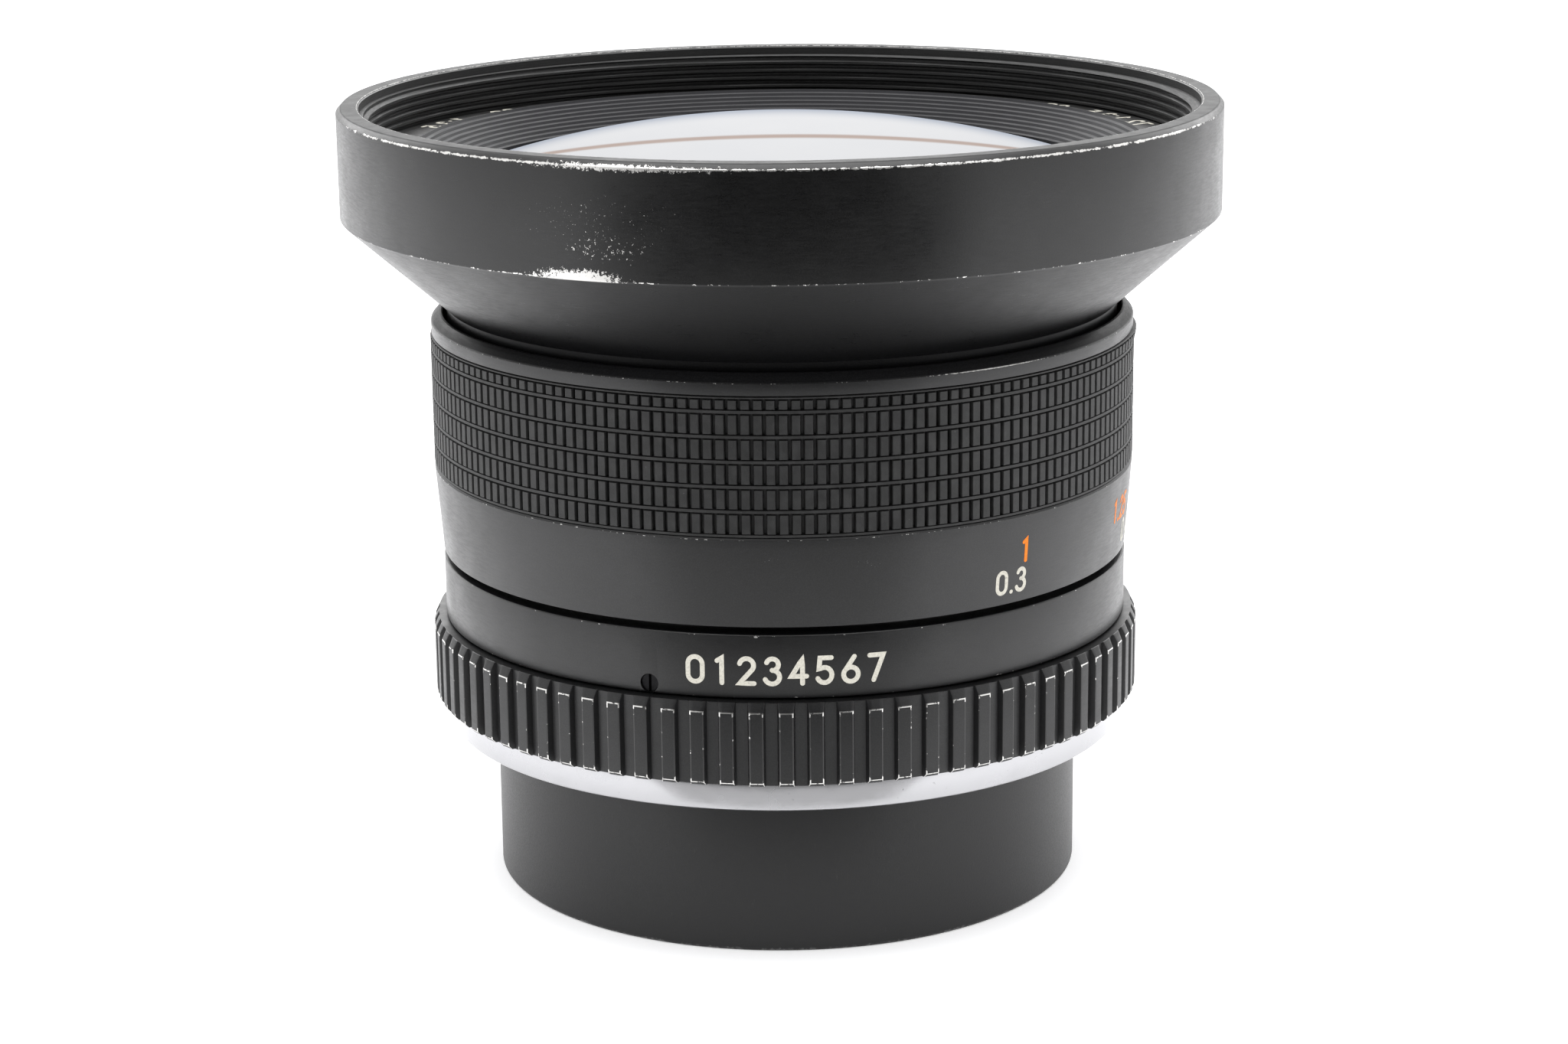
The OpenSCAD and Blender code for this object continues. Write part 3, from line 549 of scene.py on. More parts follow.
def barrel_marks(s, radius, angle, z):
    """Wear of the flared front: its rim, the edge of the flare and a knocked patch above it."""
    front = s.most(near_angle(s, angle, 0, 120), 0.25)
    rim = near_edge(s, radius, z, HOOD_R, RIM_Z - RIM_BEVEL, 0.36)
    rim_line = worn(s, s.times(0.82, rim, s.ramp(front, 0.2, 0.6, 0.55, 1.0)), 1.0)
    fringe = near_edge(s, radius, z, HOOD_R, RIM_Z - RIM_BEVEL, 0.95)
    rim_fringe = worn(s, s.times(0.84, fringe, near_angle(s, angle, -19, 32)), 1.7, 3.4, 12.0)
    inner = near_edge(s, radius, z, THREAD_ROOT_R + 0.55, RIM_Z, 0.16)
    inner_line = s.times(0.5, worn(s, s.times(0.78, inner), 5.0))
    flare = near_edge(s, radius, z, HOOD_R, FLARE_Z, 0.26)
    flare_line = worn(s, s.times(0.8, flare, s.most(near_angle(s, angle, -27, 40), 0.74)), 2.0)
    patch = near_place(s, angle, z, -24.5, 14, FLARE_Z, 1.9)
    above_flare = s.ramp(z, FLARE_Z - 0.14, FLARE_Z - 0.04)
    patch_worn = s.times(worn(s, patch, 3.0, 4.0, 12.0), above_flare)
    chips = near_place(s, angle, z, -21, 20, FLARE_Z + 2.6, 4.2)
    chips_worn = worn(s, s.times(0.56, chips), 3.3, 3.0, 10.0)
    specks = near_place(s, angle, z, -22, 38, RIM_Z - 4.6, 8.0)
    speck_worn = worn(s, s.times(0.47, specks), 4.0, 6.0, 14.0)
    return s.most(rim_line, rim_fringe, inner_line, flare_line, patch_worn, chips_worn, speck_worn)


def focus_marks(s, radius, angle, z):
    """Wear of the focusing ring: its front bevel, the step under the grip and a rubbed place."""
    bevel = near_edge(s, radius, z, 30.84, GRIP_TOP_Z + 1.07, 0.12)
    bevel_worn = worn(s, s.times(bevel, s.most(near_angle(s, angle, 34, 26), 0.56)), 6.0, 4.0, 12.0)
    lip = near_edge(s, radius, z, SCALE_R, GRIP_Z - 0.2, 0.16)
    lip_worn = worn(s, s.times(lip, 0.55), 7.0)
    rubbed = s.most(near_place(s, angle, z, -2, 6, 35.7, 0.8), near_place(s, angle, z, 13, 8, 35.0, 1.5))
    rubbed_worn = s.times(worn(s, s.times(rubbed, 0.5), 8.0, 6.0, 16.0), 0.6)
    return s.most(bevel_worn, lip_worn, rubbed_worn)


def fixed_marks(s, radius, angle, z):
    """Wear of the fixed barrel's two edges."""
    top = near_edge(s, radius, z, BARREL_R, BARREL_TOP_Z - 0.1, 0.2)
    bottom = near_edge(s, radius, z, BARREL_R, BARREL_Z + 0.1, 0.16)
    nick = near_place(s, angle, z, -4.6, 0.9, BARREL_TOP_Z - 0.15, 0.3)
    edges = s.times(s.most(top, bottom), 0.5)
    return s.most(worn(s, edges, 9.0), worn(s, s.times(nick, 0.9), 10.0))


def edge_wear():
    """Rib edges of the aperture ring: black finish rubbed through to bright metal, most of all at
    the ribs' ends."""
    s = Shader("rib_edge_wear")
    _, _, z = s.place()
    top_z = APERTURE_TOP_Z - RIB_BEVEL_H
    foot_z = APERTURE_Z + RIB_FOOT
    ends = s.most(s.ramp(z, top_z - 0.5, top_z - 0.1), s.ramp(z, foot_z + 0.45, foot_z + 0.1))
    chips = s.noise((2.2, 2.2, 2.2), 4.0, 0.7, 21.0)
    bare = s.ramp(s.plus(chips, s.times(ends, 0.22)), 0.62, 0.68)
    color = s.mix(bare, grey(0.02), BARE_METAL)
    return s.surface(color, s.ramp(bare, 0.0, 1.0, 0.4, 0.28), s.times(bare, 0.95),
                     s.noise(10.0, 2.0), 0.01)


def rubber():
    s = Shader("grip_rubber")
    grain = s.noise(12.0, 3.0, 0.6, 31.0)
    dust = s.noise(0.9, 4.0, 0.65, 32.0)
    specks = s.ramp(s.noise(5.0, 2.0, 0.5, 33.0), 0.72, 0.8)
    base = s.mix(s.ramp(dust, 0.35, 0.75), grey(0.009), grey(0.02))
    color = s.mix(s.times(specks, 0.5), base, grey(0.16))
    return s.surface(color, s.ramp(grain, 0.3, 0.7, 0.5, 0.64), 0.0, grain, 0.02,
                     Specular_IOR_Level=0.5, IOR=1.5)


def matt_black(name="matt_black", tone=0.006, roughness=0.6):
    s = Shader(name)
    grain = s.noise((0.5, 0.5, 12.0), 3.0, 0.6, 41.0)
    fine = s.noise(14.0, 2.0, 0.5, 42.0)
    color = s.mix(fine, grey(tone * 0.7), grey(tone * 1.4))
    return s.surface(color, s.ramp(grain, 0.3, 0.7, roughness - 0.06, roughness + 0.08), 0.0,
                     s.plus(grain, fine), 0.008)


def grey_ring():
    """Grey anodised cone round the front glass."""
    s = Shader("grey_anodised")
    lines = s.noise((0.3, 0.3, 22.0), 2.0, 0.5, 51.0)
    blotch = s.noise(0.6, 3.0, 0.5, 52.0)
    return s.surface(s.mix(blotch, grey(0.013, 0.14), grey(0.02, 0.14)),
                     s.ramp(lines, 0.3, 0.7, 0.46, 0.58), 0.0, lines, 0.006, Specular_IOR_Level=0.14)


def chrome():
    s = Shader("mount_chrome")
    turned_lines = s.noise((0.2, 0.2, 9.0), 3.0, 0.6, 61.0)
    smudge = s.noise(0.35, 3.0, 0.55, 62.0)
    pits = s.ramp(s.noise(3.2, 2.0, 0.5, 63.0), 0.7, 0.76)
    color = s.mix(s.times(pits, 0.7), s.mix(smudge, grey(0.4, 0.03), grey(0.48, 0.03)), grey(0.2))
    return s.surface(color, s.ramp(smudge, 0.35, 0.7, 0.17, 0.3), 1.0,
                     s.plus(s.times(turned_lines, 0.4), s.times(pits, -1.0)), 0.004)


def metal(name, color, roughness, scale=(1.0, 1.0, 8.0), seed=71.0):
    """Turned metal with a fine grain."""
    s = Shader(name)
    grain = s.noise(scale, 3.0, 0.6, seed)
    stain = s.noise(0.5, 3.0, 0.55, seed + 1)
    dark = tuple(c * 0.78 for c in color[:3]) + (1.0,)
    return s.surface(s.mix(stain, color, dark), s.ramp(grain, 0.3, 0.7, roughness - 0.05, roughness + 0.1),
                     1.0, grain, 0.005)


def cap_plastic():
    """Satin moulded plastic with fine scuffs."""
    s = Shader("cap_plastic")
    _, _, z = s.place()
    texture = s.noise(7.0, 3.0, 0.6, 81.0)
    scuff = s.ramp(s.noise((2.5, 2.5, 0.5), 5.0, 0.7, 82.0), 0.62, 0.78)
    foot = s.times(s.ramp(z, 0.9, 0.1), s.noise(2.0, 4.0, 0.7, 83.0))
    pale = s.most(s.times(scuff, 0.12), s.ramp(foot, 0.45, 0.6, 0.0, 0.5))
    color = s.mix(pale, grey(0.006, 0.08), grey(0.13))
    return s.surface(color, s.ramp(texture, 0.3, 0.7, 0.36, 0.46), 0.0, texture, 0.01,
                     Specular_IOR_Level=0.5, IOR=1.44)


def glass():
    """Polished glass with a faint tint."""
    s = Shader("coated_glass")
    film = s.noise(0.12, 2.0, 0.5, 91.0)
    color = s.mix(film, (0.97, 0.985, 1.0, 1.0), (1.0, 0.985, 0.96, 1.0))
    return s.surface(color, 0.0, Transmission_Weight=1.0, IOR=1.62)


def front_glass():
    """The domed front: clear from above, veiled at low angles by a painted white reflection, with a
    painted blue edge and one painted fine line where light from the element's back is cut off."""
    s = Shader("front_glass")
    radius, _, _ = s.place()
    facing = s.facing()
    cloud = s.noise(0.1, 2.0, 0.5, 93.0)
    # Painted reflection: a pale grey that the lamps light to white stands in for the bright room reflected at low
    # angles, bluer where the dome is seen most edge on
    white = s.mix(cloud, (0.41, 0.415, 0.428, 1.0), (0.45, 0.45, 0.455, 1.0))
    painted_reflection_veil = s.mix(s.ramp(facing, 0.86, 0.97), white, (0.27, 0.29, 0.33, 1.0))
    # Painted reflection: a thin brownish line where the facing, less a share of the squared radius, meets one
    # value
    bent = s.math("SUBTRACT", facing, s.times(radius, radius, 0.00019))
    line = s.ramp(s.apart(bent, 0.758), 0.004, 0.015, 0.85, 0.0)
    painted_reflection_veil = s.mix(line, painted_reflection_veil, (0.26, 0.2, 0.17, 1.0))
    clear = s.mix(cloud, (0.97, 0.985, 1.0, 1.0), (1.0, 0.985, 0.96, 1.0))
    s.surface(clear, 0.0, Transmission_Weight=1.0, IOR=1.62)
    # The painted reflection is a diffuse film, mixed over the clear glass as the dome is seen more edge on
    film = s.node("ShaderNodeBsdfDiffuse", {"Color": painted_reflection_veil}).outputs[0]
    share = s.ramp(facing, 0.45, 0.7)
    both = s.node("ShaderNodeMixShader", {0: share, 1: s.bsdf.outputs[0], 2: film})
    s.feed(s.tree.nodes["Material Output"].inputs["Surface"], both.outputs[0])
    return s.material


def paint(name, color):
    """Enamel in engraved figures, a little rubbed."""
    s = Shader(name)
    wear = s.noise(6.0, 3.0, 0.6, 101.0)
    darker = tuple(c * 0.72 for c in color[:3]) + (1.0,)
    return s.surface(s.mix(s.ramp(wear, 0.4, 0.75), color, darker), s.ramp(wear, 0.3, 0.7, 0.42, 0.6),
                     0.0, wear, 0.006, Specular_IOR_Level=0.25)


def red_bead():
    s = Shader("red_plastic")
    swirl = s.noise(3.0, 3.0, 0.6, 111.0)
    return s.surface(s.mix(swirl, (0.5, 0.012, 0.012, 1.0), (0.34, 0.01, 0.01, 1.0)),
                     s.ramp(swirl, 0.3, 0.7, 0.16, 0.3), 0.0, swirl, 0.01)


# Painted shade: the shine falls from the flare's edge down the cone to the neck, where shade falls under the
# flared hood
FLARE_SHINE_PAINTED_SHADE = [
    (NECK_Z - 0.4, FLARE_Z - 1.5, 0.06, 0.3),
    (FLARE_Z - 0.4, FLARE_Z, 0.06, 0.5),
]
# Painted shade: the shine drops above the band on the focusing ring's front bevel, in the shade under the hood
FOCUS_SHINE_PAINTED_SHADE = [(GRIP_TOP_Z + 1.08, GRIP_TOP_Z + 1.2, 0.5, 0.07)]

anodised("black_anodised_front", marks=barrel_marks, flat_z=RIM_Z, shines=FLARE_SHINE_PAINTED_SHADE)
anodised("black_anodised", 0.008, 0.34, marks=focus_marks, shines=FOCUS_SHINE_PAINTED_SHADE)
anodised("black_anodised_fixed", 0.006, 0.33, marks=fixed_marks)
anodised("ribbed_anodised", 0.009, 0.38)
edge_wear()
rubber()
matt_black()
matt_black("name_ring_black", 0.004, 0.5)
grey_ring()
chrome()
cap_plastic()
glass()
front_glass()
metal("brass", (0.62, 0.43, 0.18, 1.0), 0.3)
metal("steel", (0.55, 0.55, 0.57, 1.0), 0.28, (3.0, 3.0, 3.0), 73.0)
metal("dark_steel", (0.3, 0.3, 0.31, 1.0), 0.34, (4.0, 4.0, 4.0), 75.0)
metal("blackened_steel", (0.02, 0.02, 0.021, 1.0), 0.42, (4.0, 4.0, 4.0), 76.0)
metal("spring_steel", (0.38, 0.4, 0.46, 1.0), 0.25, (1.0, 1.0, 6.0), 77.0)
metal("blade_steel", (0.09, 0.09, 0.1, 1.0), 0.4, (6.0, 1.0, 1.0), 79.0)
paint("white_paint", (0.58, 0.56, 0.49, 1.0))
paint("orange_paint", (0.8, 0.2, 0.005, 1.0))
red_bead()


# ---- lens head

def thread_radius(z, angle):
    """Radius of the filter thread's wall at a height and direction: a helix that fades at both ends."""
    depth = THREAD_TOP_Z - z
    phase = (depth / THREAD_PITCH + angle / 360) % 1
    crest = min(1, max(0, (abs(phase - 0.5) - 0.16) / 0.2))
    fade = min(1, max(0, depth / 0.3)) * min(1, max(0, (THREAD_RUN - depth) / 0.3))
    return THREAD_ROOT_R + (THREAD_CREST_R - THREAD_ROOT_R) * (1 - crest) * fade


def make_front_barrel():
    cell_r = 26.1
    seat_z = 55.4
    glass_r = 28.35
    ring_r = 32.2
    lip = 0.55
    rows = 64
    thread = [(THREAD_ROOT_R, THREAD_TOP_Z - THREAD_RUN * k / rows) for k in range(rows + 1)]
    outline = rounded([
        (cell_r, HEAD_LOW_Z), (NECK_R, HEAD_LOW_Z), (NECK_R, NECK_Z, 0.15), (HOOD_R, FLARE_Z, 0.12),
        (HOOD_R, RIM_Z - RIM_BEVEL, 0.06), (HOOD_R - RIM_BEVEL, RIM_Z, 0.06),
        (THREAD_ROOT_R + lip, RIM_Z, 0.05), (THREAD_ROOT_R + 0.4, RIM_Z - 0.15),
        (THREAD_ROOT_R + 0.4, THREAD_TOP_Z),
    ])
    outline += thread
    outline += [
        (THREAD_ROOT_R, FLOOR_Z), (ring_r, FLOOR_Z), (ring_r, FLOOR_Z - 2.3),
        (glass_r, FLOOR_Z - 2.3), (glass_r, seat_z), (cell_r, seat_z),
    ]
    first = len(outline) - 6 - len(thread)

    def helix(points, angle):
        for k in range(first, first + len(thread)):
            points[k][0] = thread_radius(points[k][1], angle)
        return points

    obj = mesh_object("front_barrel_turned", *turned(outline, warp=helix))
    for face in obj.data.polygons:
        inside = math.hypot(*face.center[:2]) / MM < THREAD_ROOT_R + 0.45
        face.material_index = int(inside and face.center.z / MM > FLOOR_Z)
    finish_piece(obj, "lens_head", "black_anodised", "front_barrel",
                 materials=["black_anodised_front", "matt_black"])


def make_name_ring():
    inner_r = 32.25
    outline = rounded([
        (inner_r, FLOOR_Z), (NAME_R, FLOOR_Z), (NAME_R, NAME_Z, 0.08), (inner_r, NAME_Z, 0.05),
    ])
    obj = mesh_object("name_ring_turned", *turned(outline))
    finish_piece(obj, "lens_head", "name_ring_black", "name_ring")
    text_r = (inner_r + NAME_R) / 2 + 0.05
    height = 1.8
    stroke = 0.34
    lines = [
        ("20", -131), ("1:3.5", -116), ("20", 131), ("1:3.5", 118), ("72", 108), ("1:3.5", -30),
        ("20", 30),
    ]
    entries = [(text, height, stroke, on_face(text_r, angle, NAME_Z)) for text, angle in lines]
    figures("name_ring_figures", entries, "lens_head", "white_paint")


def make_retaining_ring():
    """Grey cone round the front glass, turned with fine steps against stray light."""
    bore_r = 28.4
    outer_r = 32.15
    top_r = 31.9
    top_z = high("front_retaining_ring")[2]
    low_z = low("front_retaining_ring")[2]
    lip_r = 27.7
    lip_z = FLOOR_Z + 0.15
    steps = 8
    step_r = (top_r - 0.3 - lip_r) / steps
    step_h = (top_z - lip_z) / steps
    outline = rounded([
        (bore_r, low_z), (outer_r, low_z), (outer_r, FLOOR_Z + 1.6), (top_r, top_z - 0.1),
        (top_r - 0.12, top_z, 0.03),
    ])
    for i in range(steps):
        outline += [
            (top_r - 0.3 - i * step_r, top_z - i * step_h),
            (top_r - 0.3 - (i + 0.3) * step_r, top_z - (i + 0.7) * step_h),
        ]
    outline += [(lip_r, lip_z), (lip_r, lip_z - 0.23), (bore_r, lip_z - 0.23)]
    obj = mesh_object("front_retaining_ring_turned", *turned(outline))
    finish_piece(obj, "lens_head", "grey_anodised", "front_retaining_ring")


def cap_arc(surface, rim_r, steps=40):
    """Half-section of a ball's surface out to rim_r. surface is the ball's radius, its apex height and
    1 where it bulges forwards, or -1."""
    big_r, apex_z, up = surface
    return [
        (rim_r * k / steps, apex_z - up * (big_r - math.sqrt(big_r**2 - (rim_r * k / steps) ** 2)))
        for k in range(steps + 1)
    ]


# Elements: radius, front surface (ball radius, apex height, bulge), back surface, radius of the
# back surface where the back has a flat rim
ELEMENTS = {
    "front_element": (28.3, (90, 67, 1), (34, 63.5, 1), 22.0),
    "second_element": (21.0, (45, 58, 1), (20, 56, 1), 15.48),
    "third_element": (14.0, (40, 49.93, 1), (60, 43.76, -1), 14.0),
    "fourth_element": (11.0, (80, 42.04, -1), (60, 40.62, 1), 11.0),
    "fifth_element": (9.5, (30, 31.84, 1), (25, 26.42, -1), 9.5),
    "sixth_element": (9.5, (25, 26.4, -1), (45, 25.06, 1), 9.5),
    "seventh_element": (11.0, (60, 21.38, -1), (28, 18.15, -1), 11.0),
    "rear_element": (11.0, (55, 17.71, 1), (30, 12.51, -1), 11.0),
}


def make_elements():
    for node, (radius, front, back, back_r) in ELEMENTS.items():
        outline = cap_arc(front, radius)
        back_side = cap_arc(back, back_r)
        if back_r < radius:
            outline.append((radius, back_side[-1][1]))
        outline += back_side[::-1]
        obj = mesh_object(node + "_ground", *turned(outline, 256), sharp=20)
        material = "front_glass" if node == "front_element" else "coated_glass"
        finish_piece(obj, "lens_head", "coated_glass", node, materials=[material])


# ---- focusing ring

def make_focus_ring():
    bore_r = 28.55
    seat_r = 30.35
    front_bore_r = 29.85
    band_r = 30.85
    band_z = GRIP_TOP_Z + 0.05
    sleeve_top_z = 46.0
    front_z = FOCUS_TOP_Z - 0.4
    outline = rounded([
        (bore_r, FOCUS_Z), (BARREL_R, FOCUS_Z, 0.1), (SCALE_R - 0.03, GRIP_Z - 0.86),
        (SCALE_R - 0.03, GRIP_Z - 0.84), (SCALE_R, GRIP_Z - 0.2, 0.05), (SCALE_R - 0.12, GRIP_Z - 0.05),
        (seat_r, GRIP_Z - 0.05), (seat_r, band_z), (band_r, band_z, 0.06), (band_r, band_z + 1.0, 0.05),
        (30.4, front_z - 0.3, 0.04), (30.12, front_z - 0.03, 0.04), (29.95, front_z),
        (front_bore_r, front_z - 0.08), (front_bore_r, sleeve_top_z), (bore_r, sleeve_top_z),
    ])
    obj = mesh_object("focus_ring_turned", *turned(outline))
    finish_piece(obj, "focusing_ring", "black_anodised", "focus_ring")


def scale_radius(z):
    """Radius of the tapered distance scale."""
    share = (z - FOCUS_Z) / (GRIP_Z - 0.86 - FOCUS_Z)
    return BARREL_R + (SCALE_R - 0.03 - BARREL_R) * share


GRIP_COLUMNS = 189
GRIP_ROWS = 5
GRIP_ROW_H = 2.06
GRIP_BAR_H = 0.3
GRIP_PAD_SHARE = 0.7
PEEL_AT, PEEL_SPREAD, PEEL_LIFT, PEEL_DEPTH = 83, 11, 0.26, 1.8


def make_grip():
    """Moulded rubber: raised pads in columns, with deep slots between them and thin bars between rows.
    Its top edge peels off a little at PEEL_AT."""
    bar_r = GRIP_R - 0.06
    notch_r = GRIP_R - 0.26
    slot_r = GRIP_R - 0.48
    slope = 0.05
    period = 360 / GRIP_COLUMNS
    pad_half = GRIP_PAD_SHARE / 2
    # Across one column: share of the column, and what stands there (1 pad, 0.85 its rounded edge,
    # 0 slot)
    across = [(-0.5, 0), (-pad_half - slope, 0), (-pad_half, 0.85), (-pad_half + slope * 0.8, 1),
              (pad_half - slope * 0.8, 1), (pad_half, 0.85), (pad_half + slope, 0)]
    # Up the grip: height, and what stands there
    up = [(GRIP_Z, "edge"), (GRIP_Z + 0.06, "bar"), (GRIP_Z + 0.24, "bar")]
    z = GRIP_Z + 0.24
    for row in range(GRIP_ROWS + 1):
        tall = GRIP_ROW_H - GRIP_BAR_H if row < GRIP_ROWS else GRIP_TOP_Z - 0.2 - z
        up += [(z + 0.04, "notch"), (z + 0.1, "open")]
        z += tall
        up += [(z - 0.1, "open"), (z - 0.04, "notch")]
        if row < GRIP_ROWS:
            up += [(z + 0.03, "bar"), (z + GRIP_BAR_H - 0.03, "bar")]
            z += GRIP_BAR_H
    up += [(GRIP_TOP_Z - 0.16, "bar"), (GRIP_TOP_Z - 0.05, "bar"), (GRIP_TOP_Z, "edge")]
    inner_r = 30.37
    verts = []
    for c in range(GRIP_COLUMNS):
        for share, pad in across:
            angle = (c + share) * period
            away = ((angle - PEEL_AT + 180) % 360) - 180
            lift = PEEL_LIFT * math.exp(-(away / PEEL_SPREAD) ** 2)
            top_r = slot_r + (GRIP_R - slot_r) * pad
            radii = {"edge": bar_r - 0.1, "bar": bar_r, "notch": min(top_r, notch_r), "open": top_r}
            for z, kind in up:
                peel = max(0.0, (z - GRIP_TOP_Z + PEEL_DEPTH) / PEEL_DEPTH)
                verts.append(place(radii[kind] + lift * peel**2, angle, z))
            verts.append(place(inner_r, angle, GRIP_TOP_Z))
            verts.append(place(inner_r, angle, GRIP_Z))
    faces = skin(GRIP_COLUMNS * len(across), len(up) + 2)
    obj = mesh_object("rubber_grip_moulded", verts, faces, sharp=40)
    finish_piece(obj, "focusing_ring", "grip_rubber", "rubber_grip")


METRES = ["0.3", "0.4", "0.5", "0.7", "1", "2"]
FEET = ["1", "1.25", "1.5", "2", "3", "5", "10"]
FOOT = 0.3048
CLOSEST = 0.3
LENS_DEPTH = 0.04
METRES_Z = 31.8
FEET_Z = 34.3


def distance_angle(metres):
    """Direction of a distance mark: the ring turns from infinity as the subject comes closer."""
    return BACK - FOCUS_TURN * (CLOSEST - LENS_DEPTH) / (metres - LENS_DEPTH)


def make_distance_scale():
    height, stroke, gap, aspect = 1.95, 0.34, 0.2, 0.9

    def entry(text, metres, z):
        where = on_barrel(scale_radius, distance_angle(metres), z)
        return text, height, stroke, where, gap, aspect

    metres = [entry(text, float(text), METRES_Z) for text in METRES]
    metres.append(("oo", height, stroke, on_barrel(scale_radius, BACK, METRES_Z)))
    feet = [entry(text, float(text) * FOOT, FEET_Z) for text in FEET]
    figures("distance_figures_feet", feet, "focusing_ring", "orange_paint")
    figures("distance_figures_metres", metres, "focusing_ring", "white_paint")


# ---- fixed barrel

def make_fixed_barrel():
    skirt_r = 29.45
    skirt_bore_r = 27.0
    web_z = 24.0
    web_top_z = 26.5
    spigot_r, spigot_bore_r, spigot_top_z = 28.5, 27.6, 40.5
    groove_r, groove_z, groove_half = 27.9, 39.0, 0.6
    guide_r, guide_bore_r, guide_top_z = 24.7, 23.2, 43.4
    outline = rounded([
        (skirt_bore_r, FLANGE_TOP_Z), (skirt_r, FLANGE_TOP_Z), (skirt_r, BARREL_Z),
        (BARREL_R, BARREL_Z, 0.14), (BARREL_R, BARREL_TOP_Z, 0.16), (spigot_r, BARREL_TOP_Z),
        (spigot_r, groove_z - groove_half), (groove_r, groove_z - groove_half),
        (groove_r, groove_z + groove_half), (spigot_r, groove_z + groove_half),
        (spigot_r, spigot_top_z), (spigot_bore_r, spigot_top_z), (spigot_bore_r, web_top_z),
        (guide_r, web_top_z), (guide_r, guide_top_z), (guide_bore_r, guide_top_z),
        (guide_bore_r, web_z), (skirt_bore_r, web_z),
    ])
    obj = mesh_object("fixed_barrel_turned", *turned(outline))
    cutters = [
        rod("hole", radius, place(start_r, angle, z), place(end_r, angle, z))
        for radius, angle, z, start_r, end_r in [
            *((0.8, -21.7 + 120 * i, 24.6, 29.3, BARREL_R + 1) for i in range(3)),  # grub screws
            (0.95, BACK, 25.3, 29.3, BARREL_R + 1),  # red bead
            (0.86, CLICK, CLICK_Z, skirt_bore_r - 0.5, skirt_r + 0.5),  # click ball
            (0.54, CLICK + 16, CLICK_Z, skirt_bore_r - 0.5, 28.4),  # screw of the click spring
        ]
    ]
    cut_from(obj, cutters)
    finish_piece(obj, "barrel", "black_anodised", "fixed_barrel", materials=["black_anodised_fixed"])


def make_barrel_figures():
    """Serial number towards -Y, and the index line with its depth of field marks towards +Y."""
    def barrel_radius(z):
        return BARREL_R

    serial_z = 26.15
    entries = [("01234567", 2.25, 0.4, on_barrel(barrel_radius, FRONT, serial_z), 0.351)]
    depth_marks = [("4", 2.2), ("8", 5.5), ("11", 9.0), ("16", 13.5), ("22", 19.0)]
    line_z = BARREL_TOP_Z - 0.85
    entries.append(("|", 1.3, 0.3, on_barrel(barrel_radius, BACK, line_z)))
    for text, angle in depth_marks:
        for side in (-1, 1):
            entries.append(("|", 1.0, 0.16, on_barrel(barrel_radius, BACK + side * angle, line_z + 0.1)))
    for text, angle in depth_marks[1::2] + depth_marks[-1:]:
        for side in (-1, 1):
            entries.append((text, 1.2, 0.18, on_barrel(barrel_radius, BACK + side * angle, line_z - 1.4)))
    figures("barrel_figures", entries, "barrel", "white_paint")


# ---- aperture ring

